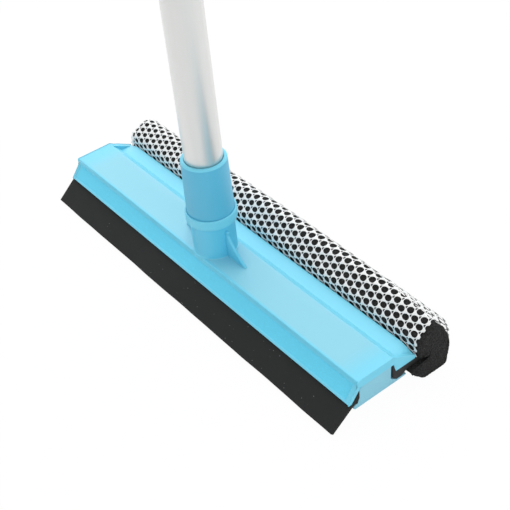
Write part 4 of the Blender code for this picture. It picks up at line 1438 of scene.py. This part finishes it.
def screwMesh():
    # a pan head with a cross recess, its point up
    radius, height = screws["headRadius"], screws["headHeight"]
    points, faces = turnedParts(rounded([
        (0.0, 0.0, 0),
        (radius, 0.0, 0.45),
        (radius, height, 0.1),
        (screws["shankRadius"], height, 0.1),
        (screws["shankRadius"], screws["length"] - screws["point"], 0.2),
        (0.0, screws["length"], 0),
    ]), count=32)
    mesh = bpy.data.meshes.new("screw")
    mesh.from_pydata([[c * mm for c in p] for p in points], [], faces)
    cross = bmesh.new()
    long, thin, tall = screws["recess"]
    for size in ((long, thin, tall), (thin, long, tall)):
        made = bmesh.ops.create_cube(cross, size=mm)["verts"]
        bmesh.ops.scale(cross, vec=size, verts=made)
    body = linked("screwBody", mesh)
    cutter = linked("cross", meshOf(cross, "cross"))
    return combined(body, [cutter], "DIFFERENCE", crossesItself=True)


def rowNodes(maker, given):
    # copies of one object in a row, each turned a little further
    line = maker.add("GeometryNodeMeshLine", {
        "Count": given["Count"],
        "Start Location": given["First"],
        "Offset": given["Step"],
    }).outputs[0]
    turn = maker.point(z=maker.times(pointIndex(maker), given["Turn"]))
    return copiedOn(maker, line, objectShape(maker, given["Piece"]), Rotation=turn)


def makeScrews():
    screw = linked("screw", screwMesh())
    mesh = builtByNodes("baseScrews", {
        "Piece": screw,
        "Count": screws["count"],
        "First": placed(-screwReach, 0.0, span("base_screw_1")[0]),
        "Step": Vector((screwStep * mm, 0.0, 0.0)),
        "Turn": screws["turn"],
        "Finish": zincSteel,
    }, rowNodes)
    removed(screw)
    obj = pieceFromMesh("baseScrews", mesh, [zincSteel], sharpAngle=35)
    names = [f"base_screw_{k + 1}" for k in range(screws["count"])]
    return finished(obj, "head", "steel", *names)


makeScrews()

print("ferrule and tubes")

ferrule = {
    "foot": 25.0,
    "height": 33.0,
    "footRadius": 12.7,
    "topRadius": 12.1,
    "topRound": 1.4,
    "bore": 10.3,
    "mouth": 10.1,
    "mouthDepth": 1.6,
    "boreFrom": 2.0,
    "stemRadius": 9.5,
    "stemBore": 7.5,
    "stemLength": 18.0,
    "seat": 4.0,
    "threadPitch": 5.08,
    "threadDepth": 0.9,
    "threadReach": 0.3,      # points this near the stem's radius are on it
    "threadTop": 1.2,        # plain stem above and below the thread
    "threadFoot": 0.4,
    "threadFade": (1.0, 1.5),
    "threadCrest": 0.12,     # half width and flank in turns
    "threadFlank": 0.22,
}
washer = {"bore": 9.8, "radius": 12.4}


def threaded(radius, angle, height):
    # the stem's coarse thread: a helix of rounded turns
    part = ferrule
    top = -part["threadTop"]
    foot = -part["stemLength"] + part["threadFoot"]
    z = height - part["foot"]
    if radius < part["stemRadius"] - part["threadReach"] or z > top or z < foot:
        return radius
    phase = (z / part["threadPitch"] - angle / (2 * math.pi)) % 1.0
    wave = smooth((abs(phase - 0.5) - part["threadCrest"]) / part["threadFlank"])
    fadeTop, fadeFoot = part["threadFade"]
    fade = smooth((top - z) / fadeTop) * smooth((z - foot) / fadeFoot)
    return radius - part["threadDepth"] * wave * fade


def makeFerrule():
    part = ferrule
    z = part["foot"]
    top = z + part["height"]
    roundPiece("ferruleSleeve", "pole_ferrule", "pole", "blue_plastic", shadedSleevePlastic, [
        (part["stemBore"], z - part["stemLength"], 0.3),
        (part["stemRadius"], z - part["stemLength"], 0.5),
        (part["stemRadius"], z, 0.15),
        (part["footRadius"], z, 0.4),
        (part["topRadius"], top, part["topRound"]),
        (part["mouth"], top, 0.45),
        (part["mouth"], top - part["mouthDepth"], 0.1),
        (part["bore"], top - part["boreFrom"], 0.1),
        (part["bore"], z + part["seat"], 0.1),
        (part["stemBore"], z + part["seat"], 0.2),
    ], count=128, shape=threaded, longest=0.5)
    low, high = span("seal_washer")
    roundPiece("sealWasher", "seal_washer", "washer", "black_rubber", carrierRubber, [
        (washer["bore"], low, 0.2),
        (washer["radius"], low, 0.3),
        (washer["radius"], high, 0.3),
        (washer["bore"], high, 0.2),
    ])
    softenedCopy("ferruleRivet", "ferrule_rivet", "pole", "steel", zincSteel, width=0.12)


tubes = (
    # name, CAD node, body, slot, finish, bore, radius, rounding of the edges, sides
    ("innerTube", "inner_tube", "pole", "aluminium", satinAluminium, 9.1, 10.0, 0.15, 128),
    ("outerTube", "outer_tube", "extension", "aluminium", outerAluminium, 11.5, 12.5, 0.2, 128),
    ("guideBush", "guide_bush", "bush", "grey_plastic", greyPlastic, 10.4, 11.1, 0.2, 96),
    ("stopRing", "stop_ring", "pole", "aluminium", outerAluminium, 10.3, 10.9, 0.15, 96),
)


def hollow(name, node, body, slotName, finish, bore, radius, ease, count):
    low, high = span(node)
    corners = [(bore, low, ease), (radius, low, ease), (radius, high, ease), (bore, high, ease)]
    return roundPiece(name, node, body, slotName, finish, corners, count)


makeFerrule()
for tube in tubes:
    hollow(*tube)
softenedCopy("tubePlug", "tube_plug", "pole", "grey_plastic", greyPlastic, width=0.25)

print("twist lock")

lockBody = {
    "bore": 10.4,
    "footRadius": 13.4,
    "radius": 14.8,
    "topRadius": 13.6,
    "cup": 12.8,             # the collet's seat
    "cupDepth": 12.0,
}
lockNut = {
    "bore": 10.4,
    "radius": 17.0,
    "cup": 13.7,
    "neck": 11.9,
    "wall": 2.4,
    "cupRise": 7.5,
    "flutes": 24,
    "fluteDepth": 0.9,
    "fluteHalf": 0.3,        # in shares of the pitch
    "fluteEnds": (1.5, 1.2),
    "fluteRun": 2.5,
    "fluteFrom": 15.5,
}


def makeLock():
    part = lockBody
    low, high = span("lock_body")
    seat = low + part["cupDepth"]
    roundPiece("lockBody", "lock_body", "extension", "grey_plastic", greyPlastic, [
        (part["bore"], low, 0.3),
        (part["footRadius"], low, 0.4),
        (part["footRadius"], seat, 0.1),
        (part["radius"], seat + 0.3, 0.4),
        (part["radius"], high - 1.5, 0.8),
        (part["topRadius"], high, 0.5),
        (part["cup"], high, 0.1),
        (part["cup"], seat, 0.1),
        (part["bore"], seat, 0.1),
    ])
    softenedCopy(
        "lockCollet", "lock_collet", "extension", "white_plastic", whitePlastic, width=0.2,
    )
    makeLockNut()


def makeLockNut():
    part = lockNut
    low, high = span("lock_nut")
    foot, top = part["fluteEnds"]
    run = part["fluteRun"]

    def fluted(radius, angle, height):
        if radius < part["fluteFrom"]:
            return radius
        ends = smooth((height - low - foot) / run) * smooth((high - top - height) / run)
        turn = (part["flutes"] * angle / (2 * math.pi)) % 1.0
        groove = smooth(1 - abs(turn - 0.5) / part["fluteHalf"])
        return radius - part["fluteDepth"] * groove * ends

    floor = low + part["wall"]
    roundPiece("lockNut", "lock_nut", "nut", "blue_plastic", bluePlastic, [
        (part["bore"], low, 0.3),
        (part["radius"] - 0.8, low, 0.8),
        (part["radius"], low + 1.6, 1.0),
        (part["radius"], high - 1.0, 0.9),
        (part["radius"] - 0.9, high, 0.6),
        (part["cup"], high, 0.3),
        (part["cup"], floor + part["cupRise"], 0.5),
        (part["neck"], floor - 0.3, 0.2),
        (part["bore"], floor - 0.3, 0.2),
    ], count=240, shape=fluted, longest=0.7)


makeLock()

print("handle")

grip = {
    "radius": 16.0,
    "bore": 12.8,
    "waist": 1.2,
    "ribs": 5,
    "ribDepth": 0.7,
    "ribMiddle": 0.22,       # place and half width of a groove, in shares of a band
    "ribHalf": 0.16,
    "ease": 3.0,
    "shapedFrom": 12.5,      # smallest radius that follows the waist and the grooves
    "studsAround": 26,
    "studRows": 5,
    "studRadius": 0.9,
    "studSink": 0.1,
    "studFlat": 0.45,
    "studsFrom": 0.42,       # first row and height of the rows, in shares of a band
    "studsHeight": 0.68,
}


def studNodes(maker, given):
    # rings of small raised studs between the grooves
    index = pointIndex(maker)
    rowIndex = wholeOf(maker, index, given["Around"])
    place = maker.minus(index, maker.times(rowIndex, given["Around"]))
    band = wholeOf(maker, rowIndex, given["Rows"])
    inBand = maker.minus(rowIndex, maker.times(band, given["Rows"]))
    shift = maker.times(maker.math("MODULO", inBand, 2.0), 0.5)
    share = maker.over(maker.plus(place, shift), given["Around"])
    angle = maker.times(share, 2 * math.pi)
    up = maker.plus(given["First"], maker.times(band, given["Band"]))
    up = maker.plus(up, maker.times(inBand, given["Row"]))
    bow = maker.math("SINE", maker.times(maker.over(up, given["Length"]), math.pi))
    reach = maker.minus(given["Radius"], maker.times(bow, given["Waist"]))
    x = maker.times(reach, maker.math("COSINE", angle))
    y = maker.times(reach, maker.math("SINE", angle))
    spot = maker.point(x, y, maker.plus(given["Bottom"], up))
    spot = maker.vector("ADD", spot, given["Axis"])
    count = maker.times(given["Around"], maker.times(given["Rows"], given["Bands"]))
    points = pointsAt(maker, count, spot)
    ball = maker.add("GeometryNodeMeshIcoSphere", {"Radius": given["Stud"], "Subdivisions": 2})
    flat = maker.point(given["Flatness"], 1.0, 1.0)
    turn = maker.point(z=angle)
    return copiedOn(maker, points, ball.outputs[0], Scale=flat, Rotation=turn)


def makeGrip():
    part = grip
    low, high = span("handle_grip")
    length = high - low
    start = part["ease"] * 2
    step = (length - 2 * start) / part["ribs"]

    def shaped(radius, angle, height):
        # grooves between the bands, and the waist
        if radius < part["shapedFrom"]:
            return radius
        waist = part["waist"] * math.sin(math.pi * (height - low) / length)
        place = (height - low - start) / step
        groove = 0.0
        if -0.1 < place < part["ribs"]:
            groove = smooth(1 - abs((place % 1.0) - part["ribMiddle"]) / part["ribHalf"])
        return radius - waist - part["ribDepth"] * groove

    roundPiece("handleGrip", "handle_grip", "extension", "blue_plastic", bluePlastic, [
        (part["bore"], low, 0.2),
        (part["radius"] - 1.2, low, 1.0),
        (part["radius"], low + part["ease"], 2.0),
        (part["radius"], high - part["ease"], 1.6),
        (part["radius"] - 0.8, high, 0.8),
        (part["bore"], high, 0.2),
    ], count=128, shape=shaped, longest=0.7)
    mesh = builtByNodes("gripStuds", {
        "Around": part["studsAround"],
        "Rows": part["studRows"],
        "Bands": part["ribs"],
        "Axis": Vector((poleFoot.x, poleFoot.y, 0.0)),
        "Bottom": poleFoot.z + low * mm,
        "Length": length * mm,
        "First": (start + step * part["studsFrom"]) * mm,
        "Band": step * mm,
        "Row": step * part["studsHeight"] / part["studRows"] * mm,
        "Radius": (part["radius"] - part["studSink"]) * mm,
        "Waist": part["waist"] * mm,
        "Stud": part["studRadius"] * mm,
        "Flatness": part["studFlat"],
        "Finish": bluePlastic,
    }, studNodes)
    studs = pieceFromMesh("gripStuds", mesh, [bluePlastic], sharpAngle=60)
    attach(studs, "extension")
    softenedCopy("endCap", "end_cap", "extension", "blue_plastic", bluePlastic, width=0.6)


makeGrip()

print("stage, lights and camera")

stage = {
    "floorSize": 6.0,        # metres
    "floorColour": (0.93, 0.935, 0.94),
    "floorRoughness": 0.9,
    "floorSpecular": 0.1,
    "floorWhiteness": 0.97,
    "worldLight": 0.66,
    "focus": (0.0, 0.0, 30.0),
    "lights": (
        # name, direction from the head, distance, size, power
        ("keyBackLeft", (-0.60, 0.50, 0.80), 1.3, 2.2, 19.5),
        ("fillFront", (-0.15, -0.95, 0.75), 1.4, 1.0, 0.8),
        ("fillRight", (0.95, -0.10, 0.60), 1.5, 0.8, 4.0),
    ),
    "cameraFromPole": (376.91, -230.78, 361.85),
    "cameraRight": (0.61681, 0.78243, -0.08572),
    "cameraUp": (-0.46724, 0.45161, 0.76009),
    "cameraBack": (0.63343, -0.42877, 0.64414),
    "nearest": 0.01,
    "lens": 75.05,
    "sensor": 36.0,
}


def makeFloor():
    half = stage["floorSize"] / 2
    mesh = bpy.data.meshes.new("floor")
    corners = [(-half, -half, 0), (half, -half, 0), (half, half, 0), (-half, half, 0)]
    mesh.from_pydata(corners, [], [(0, 1, 2, 3)])
    made = Finish("floorWhite", stage["floorColour"], stage["floorRoughness"])
    made.fill(made.shader, {"Specular IOR Level": stage["floorSpecular"]})
    # the camera sees plain white, all other rays a matt floor
    white = made.add("ShaderNodeEmission", {"Strength": 1.0}).outputs[0]
    seen = made.add("ShaderNodeLightPath").outputs["Is Camera Ray"]
    share = made.times(seen, stage["floorWhiteness"])
    blend = made.add("ShaderNodeMixShader", {0: share, 1: made.shader.outputs[0], 2: white})
    made.fill(made.tree.nodes["Material Output"], {"Surface": blend.outputs[0]})
    mesh.materials.append(made.material)
    linked("floor", mesh)


def makeWorld():
    # plain white where it is seen or mirrored, dimmer as a light
    world = bpy.data.worlds.new("studio")
    bpy.context.scene.world = world
    world.use_nodes = True
    maker = NodeMaker(world.node_tree)
    path = maker.add("ShaderNodeLightPath").outputs
    rays = ("Is Camera Ray", "Is Glossy Ray", "Is Transmission Ray")
    seen = maker.math("MAXIMUM", *(path[ray] for ray in rays))
    light = stage["worldLight"]
    strength = maker.plus(light, maker.times(seen, 1.0 - light))
    colour = (1.0, 1.0, 1.0, 1.0)
    maker.fill(maker.tree.nodes["Background"], {"Strength": strength, "Color": colour})


def makeLights():
    focus = placed(*stage["focus"])
    for name, direction, distance, size, power in stage["lights"]:
        data = bpy.data.lights.new(name, "AREA")
        data.shape = "SQUARE"
        data.size = size
        data.energy = power
        lamp = linked(name, data)
        aim = Vector(direction).normalized()
        lamp.location = focus + aim * distance
        lamp.rotation_euler = aim.to_track_quat("Z", "Y").to_euler()


def makeCamera():
    data = bpy.data.cameras.new("photoCamera")
    data.lens = stage["lens"]
    data.sensor_width = stage["sensor"]
    data.clip_start = stage["nearest"]
    camera = linked("photoCamera", data)
    turn = Matrix((stage["cameraRight"], stage["cameraUp"], stage["cameraBack"])).transposed()
    spot = placed(*stage["cameraFromPole"])
    camera.matrix_world = Matrix.Translation(spot) @ turn.to_4x4()
    bpy.context.scene.camera = camera


makeFloor()
makeWorld()
makeLights()
makeCamera()
bpy.context.scene.view_settings.view_transform = "Standard"
